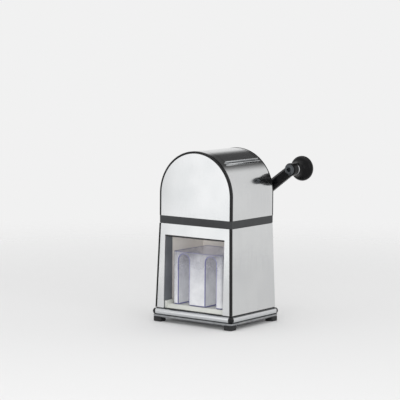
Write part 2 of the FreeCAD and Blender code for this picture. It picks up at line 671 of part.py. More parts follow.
def make_seam_gasket():
    body = new_body("seam_gasket")
    width, depth = "housing_width - 2 * seam_inset", "housing_depth - 2 * seam_inset"
    block(body, "ring", "XY", "deck_z", "shell_z",
          rounded_centred(width, depth, "shell_bend"),
          centred(f"{width} - 2 * seam_wall", f"{depth} - 2 * seam_wall"))


# --- Lower housing and ice bay ----------------------------------------------------------------


def make_lower_shell():
    body = new_body("lower_shell")
    low = ("housing_width", "housing_depth")
    top = ("top_width", "top_depth")
    loft(body, "Additive", "outside",
         "shell_z", rounded_centred(*low, "shell_bend"),
         "band_z", rounded_centred(*top, "shell_bend"))
    inner = "shell_bend - sheet"
    loft(body, "Subtractive", "inside",
         "shell_z", rounded_centred(*(f"{s} - 2 * sheet" for s in low), inner),
         "band_z", rounded_centred(*(f"{s} - 2 * sheet" for s in top), inner))
    loft(body, "Subtractive", "open_front",
         "shell_z", box("-base_width", "base_width", "-base_depth",
                        "-housing_depth / 2 + trim_width"),
         "band_z", box("-base_width", "base_width", "-base_depth",
                       "-top_depth / 2 + trim_width"))


def make_window_panel():
    body = new_body("window_panel")
    outlines = []
    for width, depth in (("housing_width", "housing_depth"),
                         ("top_width", "top_depth")):
        outlines.append(box(f"-{width} / 2 + trim_width", f"{width} / 2 - trim_width",
                            f"-{depth} / 2", f"-{depth} / 2 + sheet"))
    loft(body, "Additive", "sheet_panel", "shell_z", outlines[0], "band_z", outlines[1])
    cut(body, "window", "XZ", "-base_depth", "0",
        box("-window_width / 2", "window_width / 2", "shell_z - overrun", "window_z"))


def trim_outline(width, depth):
    """An upright trim at the front right corner, with its outer edge rounded."""
    x0, x1 = f"{width} / 2 - trim_width + seat_gap", f"{width} / 2 + trim_proud"
    y0, y1 = f"-{depth} / 2 - trim_proud", f"-{depth} / 2 + trim_width - seat_gap"
    return [
        (x0, y0),
        (f"{x1} - trim_round", y0),
        (x1, f"{y0} + trim_round", "ccw", f"{x1} - trim_round", f"{y0} + trim_round"),
        (x1, y1),
        (x0, y1),
    ]


def make_corner_trims():
    body = new_body("corner_trims")
    right = loft(body, "Additive", "right_trim",
                 "shell_z", trim_outline("housing_width", "housing_depth"),
                 "band_z", trim_outline("top_width", "top_depth"))
    doc.recompute()
    mirror(body, "left_trim", right)


def make_window_jamb():
    body = new_body("window_jamb")
    outer = "window_width / 2 + jamb_wall"
    block(body, "return", "YZ", f"-({outer})", outer,
          [("-(housing_depth / 2 - sheet)", "shell_z"), ("-jamb_back", "shell_z"),
           ("-jamb_back", "jamb_z"), ("-jamb_top_y", "jamb_z")])
    cut(body, "opening", "XZ", "-base_depth", "0",
        box("-window_width / 2", "window_width / 2", "shell_z - overrun", "jamb_z - jamb_wall"))


def make_bay_liner():
    body = new_body("bay_liner")
    half = "bay_width / 2 + liner_wall"
    front = "-jamb_back + jamb_gap"
    block(body, "outside", "XY", "deck_z", "liner_z",
          box(f"-({half})", half, front, "bay_back + liner_wall"))
    cut(body, "bay", "XY", "deck_z", "liner_z - liner_wall",
        box("-bay_width / 2", "bay_width / 2", f"{front} - overrun", "bay_back"))
    cut(body, "chute_hole", "XY", "liner_z - liner_wall", "liner_z",
        centred("chute_width + 2 * chute_wall + 2 * chute_play",
                "chute_length + 2 * chute_wall + 2 * chute_play"))


def make_floor_tray():
    body = new_body("floor_tray")
    half = "tray_width / 2"
    block(body, "platform", "YZ", f"-{half}", half,
          [("-tray_front", "deck_z"), ("tray_back", "deck_z"), ("tray_back", "tray_z"),
           ("-tray_front + tray_ramp", "tray_z"), ("-tray_front + tray_toe", "deck_z + tray_step"),
           ("-tray_front", "deck_z + tray_step")])
    cut(body, "underside", "XY", "deck_z", "tray_z - tray_wall",
        box(f"-{half} + tray_wall", f"{half} - tray_wall",
            "-tray_front + tray_ramp + tray_wall", "tray_back - tray_wall"))
    side = [("-tray_front", "deck_z"), ("tray_back", "deck_z"), ("tray_back", "deck_z + tray_rim"),
            ("-tray_front + tray_nose", "deck_z + tray_rim"),
            ("-tray_front", "deck_z + tray_rim - tray_nose", "ccw",
             "-tray_front + tray_nose", "deck_z + tray_rim - tray_nose")]
    block(body, "right_rim", "YZ", f"{half} - tray_wall", half, side)
    block(body, "left_rim", "YZ", f"-{half}", f"-{half} + tray_wall", side)
    block(body, "back_rim", "XZ", "tray_back - tray_wall", "tray_back",
          box(f"-{half}", half, "deck_z", "deck_z + tray_rim"))


def arched(centre, half, foot, spring):
    """An upright outline with a round head."""
    return [
        (f"{centre} - ({half})", foot),
        (f"{centre} + {half}", foot),
        (f"{centre} + {half}", spring),
        (f"{centre} - ({half})", spring, "ccw", centre, spring),
    ]


def make_ice_container():
    body = new_body("ice_container")
    top = "container_rim_z"
    half = "container_width / 2"
    block(body, "outside", "XY", "container_z", top,
          rounded(f"-{half}", half, "container_front", "container_back", "container_corner"))
    dress(body, "Fillet", "foot_edges", "container_foot_round",
          lambda e: level(e, number("container_z")))
    cut(body, "inside", "XY", "container_z + container_wall", top,
        rounded(f"-{half} + container_wall", f"{half} - container_wall",
                "container_front + container_wall", "container_back - container_wall",
                "container_corner - container_wall"))
    centres = ("-flute_x", "flute_x")
    block(body, "flute_walls", "XZ", "container_front + container_wall / 2",
          "container_front + flute_depth + container_wall",
          *[arched(c, "flute_width / 2 + container_wall", "container_z + container_wall / 2",
                   "flute_spring_z") for c in centres])
    cut(body, "flutes", "XZ", "container_front - overrun", "container_front + flute_depth",
        *[arched(c, "flute_width / 2", "container_z - overrun", "flute_spring_z")
          for c in centres])


# --- Chassis and crushing unit ----------------------------------------------------------------


def plate_screws(radius):
    """Two circles at the screws of the round plate."""
    return [("circle", f"{side}plate_screw_x", "plate_screw_z", radius) for side in ("", "-")]


def make_chassis():
    body = new_body("chassis")
    block(body, "spigot", "XY", "chassis_z", "band_z",
          rounded_centred("spigot_width", "spigot_depth", "shell_bend"))
    block(body, "shadow_line", "XY", "band_z", "band_z + band_reveal",
          rounded_centred("top_width - 2 * band_reveal",
                          "top_depth - 2 * band_reveal", "shell_bend"))
    block(body, "band", "XY", "band_z + band_reveal", "upper_z",
          rounded_centred("top_width", "top_depth", "shell_bend"))
    cut(body, "well", "XY", "chassis_deck_z", "upper_z",
        rounded_centred("well_width", "well_depth", "shell_bend"))
    cut(body, "trough_opening", "XY", "chassis_z", "chassis_deck_z",
        centred("2 * (trough_outer + deck_side_play)", "2 * (trough_end + deck_end_play)"))
    cut(body, "clamp_holes", "XY", "chassis_z", "chassis_deck_z",
        *at_corners("clamp_x", "clamp_y", "clamp_radius + seat_gap"))
    reach = "trim_width + spigot_gap"
    sides = ((f"top_width / 2 - ({reach})", "top_width"),
             ("-top_width", f"-top_width / 2 + {reach}"))
    seats = [box(x0, x1, "-top_depth", f"-top_depth / 2 + {reach}") for x0, x1 in sides]
    cut(body, "trim_seats", "XY", "chassis_z - overrun", "band_z", *seats)
    pedestal = arched("0", "bush_radius + pedestal_wall", "chassis_deck_z - deck_thickness / 2",
                      "axis_z")
    block(body, "front_pedestal", "XZ", "-pedestal_back", "-pedestal_front", pedestal)
    block(body, "rear_pedestal", "XZ", "pedestal_front", "pedestal_back", pedestal)
    bore = ("circle", "0", "axis_z", "bush_radius + seat_gap")
    cut(body, "front_bore", "XZ", "-well_depth / 2", "-pedestal_front + overrun", bore)
    cut(body, "rear_bore", "XZ", "pedestal_front - overrun", "top_depth", bore)
    cut(body, "plate_screw_holes", "XZ", "plate_face - plate_screw_sink - plate_screw_length",
        "top_depth", *plate_screws("plate_screw_radius + seat_gap"))


def channel(radius, top):
    """A half round channel about the crank axis, with upright sides."""
    return [(radius, top), (f"-{radius}", top), (f"-{radius}", "axis_z"),
            (radius, "axis_z", "ccw", "0", "axis_z")]


def make_crusher_trough():
    body = new_body("crusher_trough")
    block(body, "outside", "XZ", "-trough_end", "trough_end", channel("trough_outer", "trough_top"))
    block(body, "flange", "XY", "chassis_deck_z", "flange_z",
          centred("2 * flange_half", "2 * trough_end"))
    block(body, "chute", "XY", "chute_z", "chassis_deck_z",
          centred("chute_width + 2 * chute_wall", "chute_length + 2 * chute_wall"))
    cut(body, "inside", "XZ", "-trough_length / 2", "trough_length / 2",
        channel("trough_radius", "trough_top + overrun"))
    cut(body, "outlet", "XY", "chute_z", "axis_z - drum_radius",
        centred("chute_width", "chute_length"))
    cut(body, "comb_slots", "YZ", "-trough_outer - overrun", "trough_outer + overrun",
        box("-comb_length / 2 + comb_foot", "comb_length / 2 - comb_foot",
            "comb_low_z - finger_gap", "comb_top_z + finger_gap"))
    cut(body, "shaft_holes", "XZ", "-trough_end - overrun", "trough_end + overrun",
        ("circle", "0", "axis_z", "shaft_radius + trough_hole_play"))
    cut(body, "clamp_holes", "XY", "chassis_deck_z", "flange_z",
        *at_corners("clamp_x", "clamp_y", "clamp_radius + seat_gap"))


def make_trough_screws():
    body = new_body("trough_screws")
    block(body, "heads", "XY", "flange_z", "flange_z + clamp_head_height",
          *at_corners("clamp_x", "clamp_y", "clamp_head_radius"))
    block(body, "shanks", "XY", "flange_z - clamp_length", "flange_z",
          *at_corners("clamp_x", "clamp_y", "clamp_radius"))
    slots = []
    for sx in ("", "-"):
        for sy in ("", "-"):
            slots.append(box(f"{sx}clamp_x - clamp_head_radius", f"{sx}clamp_x + clamp_head_radius",
                             f"{sy}clamp_y - slot_width / 2", f"{sy}clamp_y + slot_width / 2"))
    cut(body, "slots", "XY", "flange_z + clamp_head_height / 2", "flange_z + clamp_head_height",
        *slots)


def make_breaker_comb(label, side):
    """A fixed comb beside the rotor. Its fingers stand between the rings of teeth."""
    body = new_body(label)
    inner, outer = f"{side}comb_inner", f"{side}comb_outer"
    step = f"{side}(comb_outer - comb_foot)"
    tip, nose = f"{side}finger_tip", f"{side}(finger_tip + 2 * finger_nose)"
    block(body, "spine", "XZ", "-comb_length / 2", "comb_length / 2",
          [(inner, "comb_top_z"), (inner, "comb_low_z"), (step, "comb_low_z"),
           (step, "flange_z"), (outer, "flange_z"), (outer, "comb_top_z")])
    finger = [(inner, "comb_top_z"), (nose, "comb_top_z"), (tip, "comb_top_z - finger_nose"),
              (tip, "comb_low_z + 2 * finger_nose"), (nose, "comb_low_z"), (inner, "comb_low_z")]
    place = f"-{RINGS} / 2 * tooth_pitch"
    first = block(body, "finger", "XZ", f"{place} - finger_thickness / 2",
                  f"{place} + finger_thickness / 2", finger)
    doc.recompute()
    row = body.newObject("PartDesign::LinearPattern", "fingers")
    row.Originals = [first]
    row.Direction = (origin_feature(body, "Y_Axis"), [""])
    row.setExpression("Length", linked(f"{RINGS} * tooth_pitch"))
    row.Occurrences = RINGS + 1
    body.Tip = row


def make_crusher_rotor():
    """A drum with rings of hooked teeth, each ring turned on from the last."""
    body = new_body("crusher_rotor", z="axis_z")
    tilted(body)
    half = "trough_length / 2 - drum_end_play"
    block(body, "drum", "XZ", f"-({half})", half, ("circle", "0", "0", "drum_radius"))
    foot = "drum_radius - tooth_root"
    tip = "sqrt(tooth_reach^2 - tooth_hook^2)"
    for ring in range(RINGS):
        middle = f"({ring} - {RINGS - 1} / 2) * tooth_pitch"
        tooth = block(
            body, f"tooth_{ring}", "XZ",
            f"{middle} - tooth_thickness / 2", f"{middle} + tooth_thickness / 2",
            [("-tooth_foot", foot), ("tooth_foot", foot), ("tooth_hook", tip),
             ("tooth_land", tip)],
        )
        sketch = tooth.Profile[0]
        sketch.setExpression("AttachmentOffset.Rotation.Angle",
                             linked(f"tooth_stagger * {ring} * 1 deg"))
        doc.recompute()
        teeth = body.newObject("PartDesign::PolarPattern", f"ring_{ring}")
        teeth.Originals = [tooth]
        teeth.Axis = (origin_feature(body, "Y_Axis"), [""])
        teeth.Angle = 360
        teeth.Occurrences = TEETH
        body.Tip = teeth
    cut(body, "bore", "XZ", f"-({half}) - overrun", f"{half} + overrun",
        ("circle", "0", "0", "shaft_radius + seat_gap"))
    cut(body, "pin_hole", "XY", "-2 * drum_radius", "2 * drum_radius",
        ("circle", "0", "0", "drive_pin_radius + seat_gap"))


def make_drive_pin():
    """The pin that locks the drum to the shaft."""
    body = new_body("drive_pin", z="axis_z")
    tilted(body)
    block(body, "pin", "XY", "-drum_radius + drive_pin_set", "drum_radius - drive_pin_set",
          ("circle", "0", "0", "drive_pin_radius"))


def make_rotor_shaft():
    body = new_body("rotor_shaft", z="axis_z")
    tilted(body)
    start = "-well_depth / 2 + shaft_end_play"
    square = "hub_y - seat_gap"
    thread = "hub_back_y - 2 * thread_radius / 3"
    end = "hub_back_y + thread_length"
    turn(body, "bar",
         [(start, "0"), (end, "0"), (end, "thread_radius - end_chamfer"),
          (f"{end} - end_chamfer", "thread_radius"), (thread, "thread_radius"),
          (thread, "shaft_radius"), (f"{start} + end_chamfer", "shaft_radius"),
          (start, "shaft_radius - end_chamfer")])
    cut(body, "flats", "XZ", square, thread,
        centred("4 * shaft_radius", "4 * shaft_radius"), centred("square_side", "square_side"))
    cut(body, "pin_hole", "XY", "-2 * shaft_radius", "2 * shaft_radius",
        ("circle", "0", "0", "drive_pin_radius + seat_gap"))


def make_bush(label, low, high):
    body = new_body(label, z="axis_z")
    inner = "shaft_radius + running_gap"
    turn(body, "sleeve", [(low, inner), (high, inner), (high, "bush_radius"), (low, "bush_radius")])


# --- Upper housing ----------------------------------------------------------------------------


def arch_band(outer, inner):
    """An upright arch of even width, from the band over the crown and down again."""
    return [
        (f"-({outer})", "upper_z"),
        (f"-({inner})", "upper_z"),
        (f"-({inner})", "arch_z"),
        (inner, "arch_z", "cw", "0", "arch_z"),
        (inner, "upper_z"),
        (outer, "upper_z"),
        (outer, "arch_z"),
        (f"-({outer})", "arch_z", "ccw", "0", "arch_z"),
    ]


def make_rim(label, low, high, face):
    body = new_body(label)
    block(body, "arch", "XZ", low, high, arch_band("rim_outer", "rim_inner"))
    edge_y = number(face)
    dress(body, "Chamfer", "eased_edge", "rim_bevel",
          lambda e: across_y(e, edge_y) and e.BoundBox.ZMax > number("upper_z") + 0.1)


def make_end_panel(label, low, high):
    body = new_body(label)
    half = "rim_inner - panel_gap"
    block(body, "panel", "XZ", low, high, arched("0", half, "upper_z", "arch_z"))
    return body


def make_upper_back_panel():
    body = make_end_panel("upper_back_panel", "upper_face - sheet", "upper_face")
    cut(body, "shaft_notch", "XZ", "upper_face - sheet - overrun", "upper_face + overrun",
        arched("0", "bush_radius + notch_play", "upper_z - overrun", "axis_z"))


def on_vault(x, radius):
    """The height of the arch of that radius at x."""
    return f"arch_z + sqrt(({radius})^2 - ({x})^2)"


def knuckles(body, name, numbers, toward, edge, turn_edge):
    """Hinge knuckles, each joined by a leaf to the edge of the sheet at edge."""
    for k in numbers:
        low = f"lid_y0 + {k} * knuckle_step + knuckle_gap / 2"
        high = f"lid_y0 + {k + 1} * knuckle_step - knuckle_gap / 2"
        block(body, f"{name}_{k}", "XZ", low, high, ("circle", "hinge_x", "hinge_z", "knuckle_radius"))
        leaf = [(edge, on_vault(edge, "vault_inner")), (edge, on_vault(edge, "vault_radius")),
                ("hinge_x", f"hinge_z + {toward}pin_radius"),
                ("hinge_x", f"hinge_z - {toward}knuckle_radius + {toward}seat_gap")]
        block(body, f"{name}_leaf_{k}", "XZ", low, high, leaf if turn_edge else leaf[::-1])
    cut(body, f"{name}_bore", "XZ", "lid_y0 - overrun", "lid_y1 + overrun",
        ("circle", "hinge_x", "hinge_z", "pin_radius + running_gap"))


def make_vault_cover():
    body = new_body("vault_cover")
    block(body, "sheet_vault", "XZ", "-vault_front + seat_gap", "vault_back - seat_gap",
          arch_band("vault_radius", "vault_inner"))
    cut(body, "lid_opening", "XY", "hopper_knee_z", "arch_z + 2 * vault_radius",
        box("-lid_hinge_side", "lid_right", "-lid_front", "lid_back"))
    knuckles(body, "fixed", (0, 2, 4), "", "-lid_hinge_side", True)


def make_lid():
    body = new_body("lid")
    left, right = "-lid_left", "lid_edge"

    def sector(x0, x1, outer, inner):
        return [
            (x1, on_vault(x1, outer)),
            (x0, on_vault(x0, outer), "ccw", "0", "arch_z"),
            (x0, on_vault(x0, inner)),
            (x1, on_vault(x1, inner), "cw", "0", "arch_z"),
        ]

    block(body, "sheet_lid", "XZ", "lid_y0", "lid_y1",
          sector(left, right, "vault_radius", "vault_inner"))
    turned = sector(f"{left} + 2 * sheet", right, "vault_inner + seat_gap",
                    "vault_inner - lid_flange")
    block(body, "front_flange", "XZ", "lid_y0", "lid_y0 + sheet", turned)
    block(body, "back_flange", "XZ", "lid_y1 - sheet", "lid_y1", turned)
    block(body, "right_flange", "XZ", "lid_y0", "lid_y1",
          [(f"{right} - sheet", on_vault(right, "vault_inner")),
           (f"{right} - sheet", on_vault(right, "vault_inner") + " - lid_flange"),
           (right, on_vault(right, "vault_inner") + " - lid_flange"),
           (right, on_vault(right, "vault_inner") + " + seat_gap")])
    knuckles(body, "moving", (1, 3), "", "-lid_left", False)


def make_lid_lip():
    body = new_body("lid_lip")
    low, high = "lid_y0 + sheet", "lid_y1 - sheet"

    def polar(radius, degrees):
        return (f"({radius}) * sin(({degrees}) * 1 deg)",
                f"arch_z + ({radius}) * cos(({degrees}) * 1 deg)")

    outer = "vault_radius + lip_height"
    block(body, "strip", "XZ", low, high, [
        polar(outer, "lip_end"),
        (*polar(outer, "lip_start"), "ccw", "0", "arch_z"),
        polar("vault_radius", "lip_start"),
        (*polar("vault_radius", "lip_end"), "cw", "0", "arch_z"),
    ])
    beads = "vault_radius + lip_bead"
    block(body, "beads", "XZ", low, high,
          ("circle", *polar(beads, "lip_start + lip_bead_turn"), "lip_bead - seat_gap"),
          ("circle", *polar(beads, "lip_end - lip_bead_turn"), "lip_bead - seat_gap"))


def make_hinge_pin():
    body = new_body("hinge_pin")
    block(body, "pin", "XZ", "lid_y0", "lid_y1", ("circle", "hinge_x", "hinge_z", "pin_radius"))


def make_hopper():
    body = new_body("hopper")
    mouth = box("-hopper_edge", "hopper_edge", "-hopper_front - hopper_wall",
                "hopper_back + hopper_wall")
    inner_mouth = box("-hopper_half", "hopper_half", "-hopper_front", "hopper_back")
    loft(body, "Additive", "funnel",
         "trough_top", centred("2 * trough_outer", "2 * trough_end"), "hopper_knee_z", mouth)
    block(body, "collar", "XY", "hopper_knee_z", "arch_z + vault_radius", mouth)
    beyond = "hopper_edge + hopper_wall"
    cut(body, "arched_top", "XZ", "-base_depth", "base_depth",
        [(f"-({beyond})", "arch_z + 2 * vault_radius"),
         (f"-({beyond})", on_vault(beyond, "hopper_top_radius")),
         (beyond, on_vault(beyond, "hopper_top_radius"), "cw", "0", "arch_z"),
         (beyond, "arch_z + 2 * vault_radius")])
    loft(body, "Subtractive", "throat", "trough_top",
         centred("2 * trough_radius", "trough_length"),
         "hopper_knee_z", inner_mouth)
    cut(body, "mouth", "XY", "hopper_knee_z", "arch_z + 2 * vault_radius", inner_mouth)


# --- Crank ------------------------------------------------------------------------------------


def make_escutcheon():
    body = new_body("escutcheon", z="axis_z")
    hole = "shaft_radius + escutcheon_play"
    turn(body, "plate",
         [("plate_y", hole), ("plate_face", hole),
          ("plate_face", "escutcheon_radius - escutcheon_bevel"),
          ("plate_face - escutcheon_bevel", "escutcheon_radius"),
          ("plate_y", "escutcheon_radius")])
    for name, low, radius in (("screw_seats", "plate_face - plate_screw_sink", "plate_screw_head"),
                              ("screw_holes", "plate_y", "plate_screw_radius")):
        circles = [("circle", x, f"{up} - axis_z", f"{across} + seat_gap")
                   for _, x, up, across in plate_screws(radius)]
        cut(body, name, "XZ", low, "plate_face", *circles)


def make_plate_screws():
    body = new_body("plate_screws")
    neck = "plate_face - plate_screw_sink"
    block(body, "heads", "XZ", neck, "plate_face", *plate_screws("plate_screw_head"))
    block(body, "shanks", "XZ", f"{neck} - plate_screw_length", neck,
          *plate_screws("plate_screw_radius"))
    slots = [box(f"{x} - plate_screw_head", f"{x} + plate_screw_head",
                 f"{up} - slot_width / 2", f"{up} + slot_width / 2")
             for _, x, up, _ in plate_screws("plate_screw_head")]
    cut(body, "slots", "XZ", "plate_face - plate_screw_sink / 2", "plate_face", *slots)


def tilted(body):
    """Turns a body about its Y axis to the rest angle of the crank."""
    body.Placement = FreeCAD.Placement(
        body.Placement.Base, FreeCAD.Rotation(FreeCAD.Vector(0, -1, 0), number("crank_rest"))
    )
    body.setExpression("Placement.Rotation.Angle", linked("crank_rest * 1 deg"))


def make_crank_arm():
    """The arm lies along the body's own X axis and is then tilted to its rest angle."""
    body = new_body("crank_arm", z="axis_z")
    tilted(body)
    lean = "((arm_root - arm_neck) / crank_radius)"
    rise = f"sqrt(1 - {lean}^2)"
    root = (f"arm_root * {lean}", f"arm_root * {rise}")
    neck = (f"crank_radius + arm_neck * {lean}", f"arm_neck * {rise}")
    block(body, "bar", "XZ", "arm_y", "arm_back_y",
          [(root[0], f"-{root[1]}"), (neck[0], f"-{neck[1]}"),
           (*neck, "ccw", "crank_radius", "0"), root,
           (root[0], f"-{root[1]}", "ccw", "0", "0")][:-1])
    faces = (number("arm_y"), number("arm_back_y"))
    dress(body, "Chamfer", "eased_edges", "arm_bevel",
          lambda e: any(across_y(e, y) for y in faces) and e.BoundBox.XMax > number("arm_root"))
    block(body, "tip_boss", "XZ", "arm_y", "arm_back_y", ("circle", "crank_radius", "0", "tip_radius"))
    dress(body, "Chamfer", "tip_edges", "tip_bevel",
          lambda e: any(across_y(e, y) for y in faces) and e.BoundBox.XMax > number("crank_radius"))
    block(body, "hub", "XZ", "hub_y", "hub_back_y", ("circle", "0", "0", "hub_radius"))
    ends = (number("hub_y"), number("hub_back_y"))
    dress(body, "Chamfer", "hub_edges", "hub_bevel",
          lambda e: any(across_y(e, y) for y in ends))
    cut(body, "square_hole", "XZ", "hub_y - overrun", "hub_back_y + overrun",
        centred("square_side + 2 * square_play", "square_side + 2 * square_play"))
    cut(body, "spindle_hole", "XZ", "arm_y - overrun", "arm_back_y + overrun",
        ("circle", "crank_radius", "0", "spindle_radius + seat_gap"))


def hexagon(across):
    """A hexagon about the centre, by the size across its flats."""
    corner = f"{across} / 2 / cos(30 deg)"
    return [(f"{corner} * cos({60 * k} deg)", f"{corner} * sin({60 * k} deg)") for k in range(6)]


def make_hub_nut():
    body = new_body("hub_nut", z="axis_z")
    tilted(body)
    face = "hub_back_y + nut_height"
    block(body, "hexagon", "XZ", "hub_back_y", face, hexagon("nut_across"))
    dome = "nut_across / 2 - nut_step"
    dome_centre = f"{face} + nut_dome / 2 - ({dome})^2 / (2 * nut_dome)"
    turn(body, "dome", [(f"{face} - nut_height / 2", "0"), (f"{face} + nut_dome", "0"),
                        (face, dome, "ccw", dome_centre, "0"), (f"{face} - nut_height / 2", dome)])
    cut(body, "thread", "XZ", "hub_back_y - overrun", "hub_back_y + thread_length + nut_room",
        ("circle", "0", "0", "thread_radius + seat_gap"))


def make_knob_spindle():
    """A shoulder screw: a domed button head with a hexagon socket, and a plain shank."""
    body = new_body("knob_spindle", x="knob_x", z="knob_z")
    face = "arm_y - spindle_head_height"
    edge = "arm_y - spindle_head_edge"
    end = "arm_y + spindle_length"
    dome = ("arm_y + (spindle_head_edge^2 - spindle_head_height^2 - spindle_head_flat^2 "
            "+ spindle_head^2) / (2 * (spindle_head_height - spindle_head_edge))")
    turn(body, "screw",
         [(face, "0"), (end, "0"), (end, "spindle_radius - end_chamfer"),
          (f"{end} - end_chamfer", "spindle_radius"), ("arm_y", "spindle_radius"),
          ("arm_y", "spindle_head"), (edge, "spindle_head"),
          (face, "spindle_head_flat", "ccw", dome, "0")])
    cut(body, "socket", "XZ", f"{face} - overrun", f"{face} + socket_depth",
        hexagon("socket_across"))


def make_knob_ferrule():
    body = new_body("knob_ferrule", x="knob_x", z="knob_z")
    bore = "spindle_radius + seat_gap"
    end = "arm_back_y + ferrule_length"
    middle = "arm_back_y + ferrule_length / 2"
    groove = "ferrule_groove / 2"
    turn(body, "ring",
         [("arm_back_y", bore), (end, bore), (end, "ferrule_radius - ferrule_groove"),
          (f"{middle} + {groove}", "ferrule_radius - ferrule_groove"),
          (f"{middle} + {groove}", "ferrule_radius - 2 * ferrule_groove"),
          (f"{middle} - {groove}", "ferrule_radius - 2 * ferrule_groove"),
          (f"{middle} - {groove}", "ferrule_radius"), ("arm_back_y", "ferrule_radius")])


def make_knob_grip():
    """A mushroom knob: straight neck, then a hollow flare, a belly and a crown, each an arc
    that runs smoothly into the next, and a flat end."""
    body = new_body("knob_grip", x="knob_x", y="knob_y", z="knob_z")
    bore = "spindle_radius + knob_bore_gap"
    bore_end = "arm_y + spindle_length + knob_gap - knob_y"
    turn(body, "grip",
         [("0", bore), (bore_end, bore), (bore_end, "0"), ("knob_length", "0"),
          ("knob_length", "knob_radius - crown_arc"),
          ("belly_y", "knob_radius", "ccw", "belly_y", "knob_radius - crown_arc"),
          ("flare_end", "flare_radius", "ccw", "belly_y", "knob_radius - belly_arc"),
          ("knob_neck_length", "knob_neck", "cw", "knob_neck_length", "knob_neck + knob_flare"),
          ("0", "knob_neck")])


def check_and_write():
    """Every feature has to be sound before a file is written."""
    doc.recompute()
    for item in doc.Objects:
        if "Invalid" in item.State or "Error" in item.State:
            raise RuntimeError(f"{item.Name} ({item.Label}) failed: {item.State}")
    for node in NODES:
        if node.Shape.isNull() or not node.Shape.isValid():
            raise RuntimeError(f"{node.Label} has no sound shape")
        if not node.Shape.Solids:
            raise RuntimeError(f"{node.Label} has no solid")
    os.makedirs("parts", exist_ok=True)
    for node in NODES:
        node.Shape.exportStep(f"parts/{node.Label}.step")


def main():
    make_feet()
    make_foot_screws()
    make_base_pan()
    make_base_frame()
    make_base_corner_caps()
    make_seam_gasket()
    make_lower_shell()
    make_window_panel()
    make_corner_trims()
    make_window_jamb()
    make_bay_liner()
    make_floor_tray()
    make_ice_container()
    make_chassis()
    make_crusher_trough()
    make_trough_screws()
    make_breaker_comb("breaker_comb_left", "-")
    make_breaker_comb("breaker_comb_right", "")
    make_crusher_rotor()
    make_drive_pin()
    make_rotor_shaft()
    make_bush("front_bush", "-well_depth / 2 + seat_gap", "-pedestal_front + seat_gap")
    make_bush("rear_bush", "pedestal_front - seat_gap", "plate_y - seat_gap")
    make_rim("front_rim", "-upper_face - trim_proud", "-vault_front", "-upper_face - trim_proud")
    make_rim("rear_rim", "vault_back", "upper_face + trim_proud", "upper_face + trim_proud")
    make_end_panel("upper_front_panel", "-upper_face", "-upper_face + sheet")
    make_upper_back_panel()
    make_vault_cover()
    make_lid()
    make_lid_lip()
    make_hinge_pin()
    make_hopper()
    make_escutcheon()
    make_plate_screws()
    make_crank_arm()
    make_hub_nut()
    make_knob_spindle()
    make_knob_ferrule()
    make_knob_grip()
    check_and_write()


main()
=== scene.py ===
import math

import bmesh
import bpy
from mathutils import Matrix, Vector


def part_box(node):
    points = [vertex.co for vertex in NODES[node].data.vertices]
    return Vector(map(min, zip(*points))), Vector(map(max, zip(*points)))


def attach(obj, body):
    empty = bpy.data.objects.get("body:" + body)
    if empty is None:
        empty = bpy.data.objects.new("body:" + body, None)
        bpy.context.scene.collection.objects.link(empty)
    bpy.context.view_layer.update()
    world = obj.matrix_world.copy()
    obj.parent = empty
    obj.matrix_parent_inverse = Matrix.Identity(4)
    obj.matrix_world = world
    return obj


bl_info = {
    "name": "Ice crusher finishes",
    "version": (1, 0, 0),
    "blender": (4, 5, 0),
    "location": "View3D > Sidebar > Crusher",
    # The window edge guard is painted shade: a black strip where the window's top and right edges
    # fall dark.
    "description": "Finishes, window edge guard and studio of a hand cranked ice crusher",
    "category": "Object",
}

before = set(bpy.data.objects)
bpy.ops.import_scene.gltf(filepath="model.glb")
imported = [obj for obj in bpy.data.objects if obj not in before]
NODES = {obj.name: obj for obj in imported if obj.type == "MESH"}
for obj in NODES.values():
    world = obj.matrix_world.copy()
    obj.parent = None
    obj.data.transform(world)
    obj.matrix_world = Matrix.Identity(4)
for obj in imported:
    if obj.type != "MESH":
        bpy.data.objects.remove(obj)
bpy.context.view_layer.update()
MM = 0.001
# An area lamp of this many watts per square metre has a tone of 1, which is white.
WATTS_PER_TONE = 4
# Wall of the window's return, and how far its front edge leans back from foot to head, in mm.
JAMB_WALL = 2.5
JAMB_LEAN = 3.16
# Section of the black strip that stands in for the shade along the window's edges (painted shade),
# as shares of its width inward and of its depth back.
SHADE_STRIP_SECTION = (
    (0, 0), (0.72, 0), (0.92, 0.12), (1, 0.35), (1, 0.68), (0.92, 0.90), (0.72, 1), (0, 1))
# The middle of a random pattern's range, where nearly all of it lies.
PATTERN_SPAN = (0.3, 0.7)
FLOOR_SIDES = 96


# --- Colours, nodes and patterns --------------------------------------------------------------


def linear(hex_colour):
    """An sRGB hex colour as the linear values that shaders use, with an alpha of 1."""
    channels = [int(hex_colour[i:i + 2], 16) / 255 for i in (1, 3, 5)]
    return (*(c / 12.92 if c <= 0.04045 else ((c + 0.055) / 1.055) ** 2.4 for c in channels), 1.0)


def add_node(tree, kind, settings=None, **inputs):
    """Adds a shader node. Its settings are a dictionary, or just the name of an operation. Each
    input is a keyword, with its name or an underscore and its number, and holds a value, a socket
    to link, or a node whose first output is linked."""
    node = tree.nodes.new("ShaderNode" + kind)
    if isinstance(settings, str):
        settings = {"operation": settings}
    for name, value in (settings or {}).items():
        setattr(node, name, value)
    for name, value in inputs.items():
        socket = node.inputs[int(name[1:]) if name[0] == "_" else name.replace("_", " ")]
        if isinstance(value, bpy.types.Node):
            value = value.outputs[0]
        if isinstance(value, bpy.types.NodeSocket):
            tree.links.new(value, socket)
        else:
            socket.default_value = value
    return node


def new_material(name):
    """An empty node material, its tree, and the object's own coordinates in metres."""
    material = bpy.data.materials.new(name)
    material.use_nodes = True
    tree = material.node_tree
    tree.nodes.clear()
    return material, tree, add_node(tree, "TexCoord").outputs["Object"]


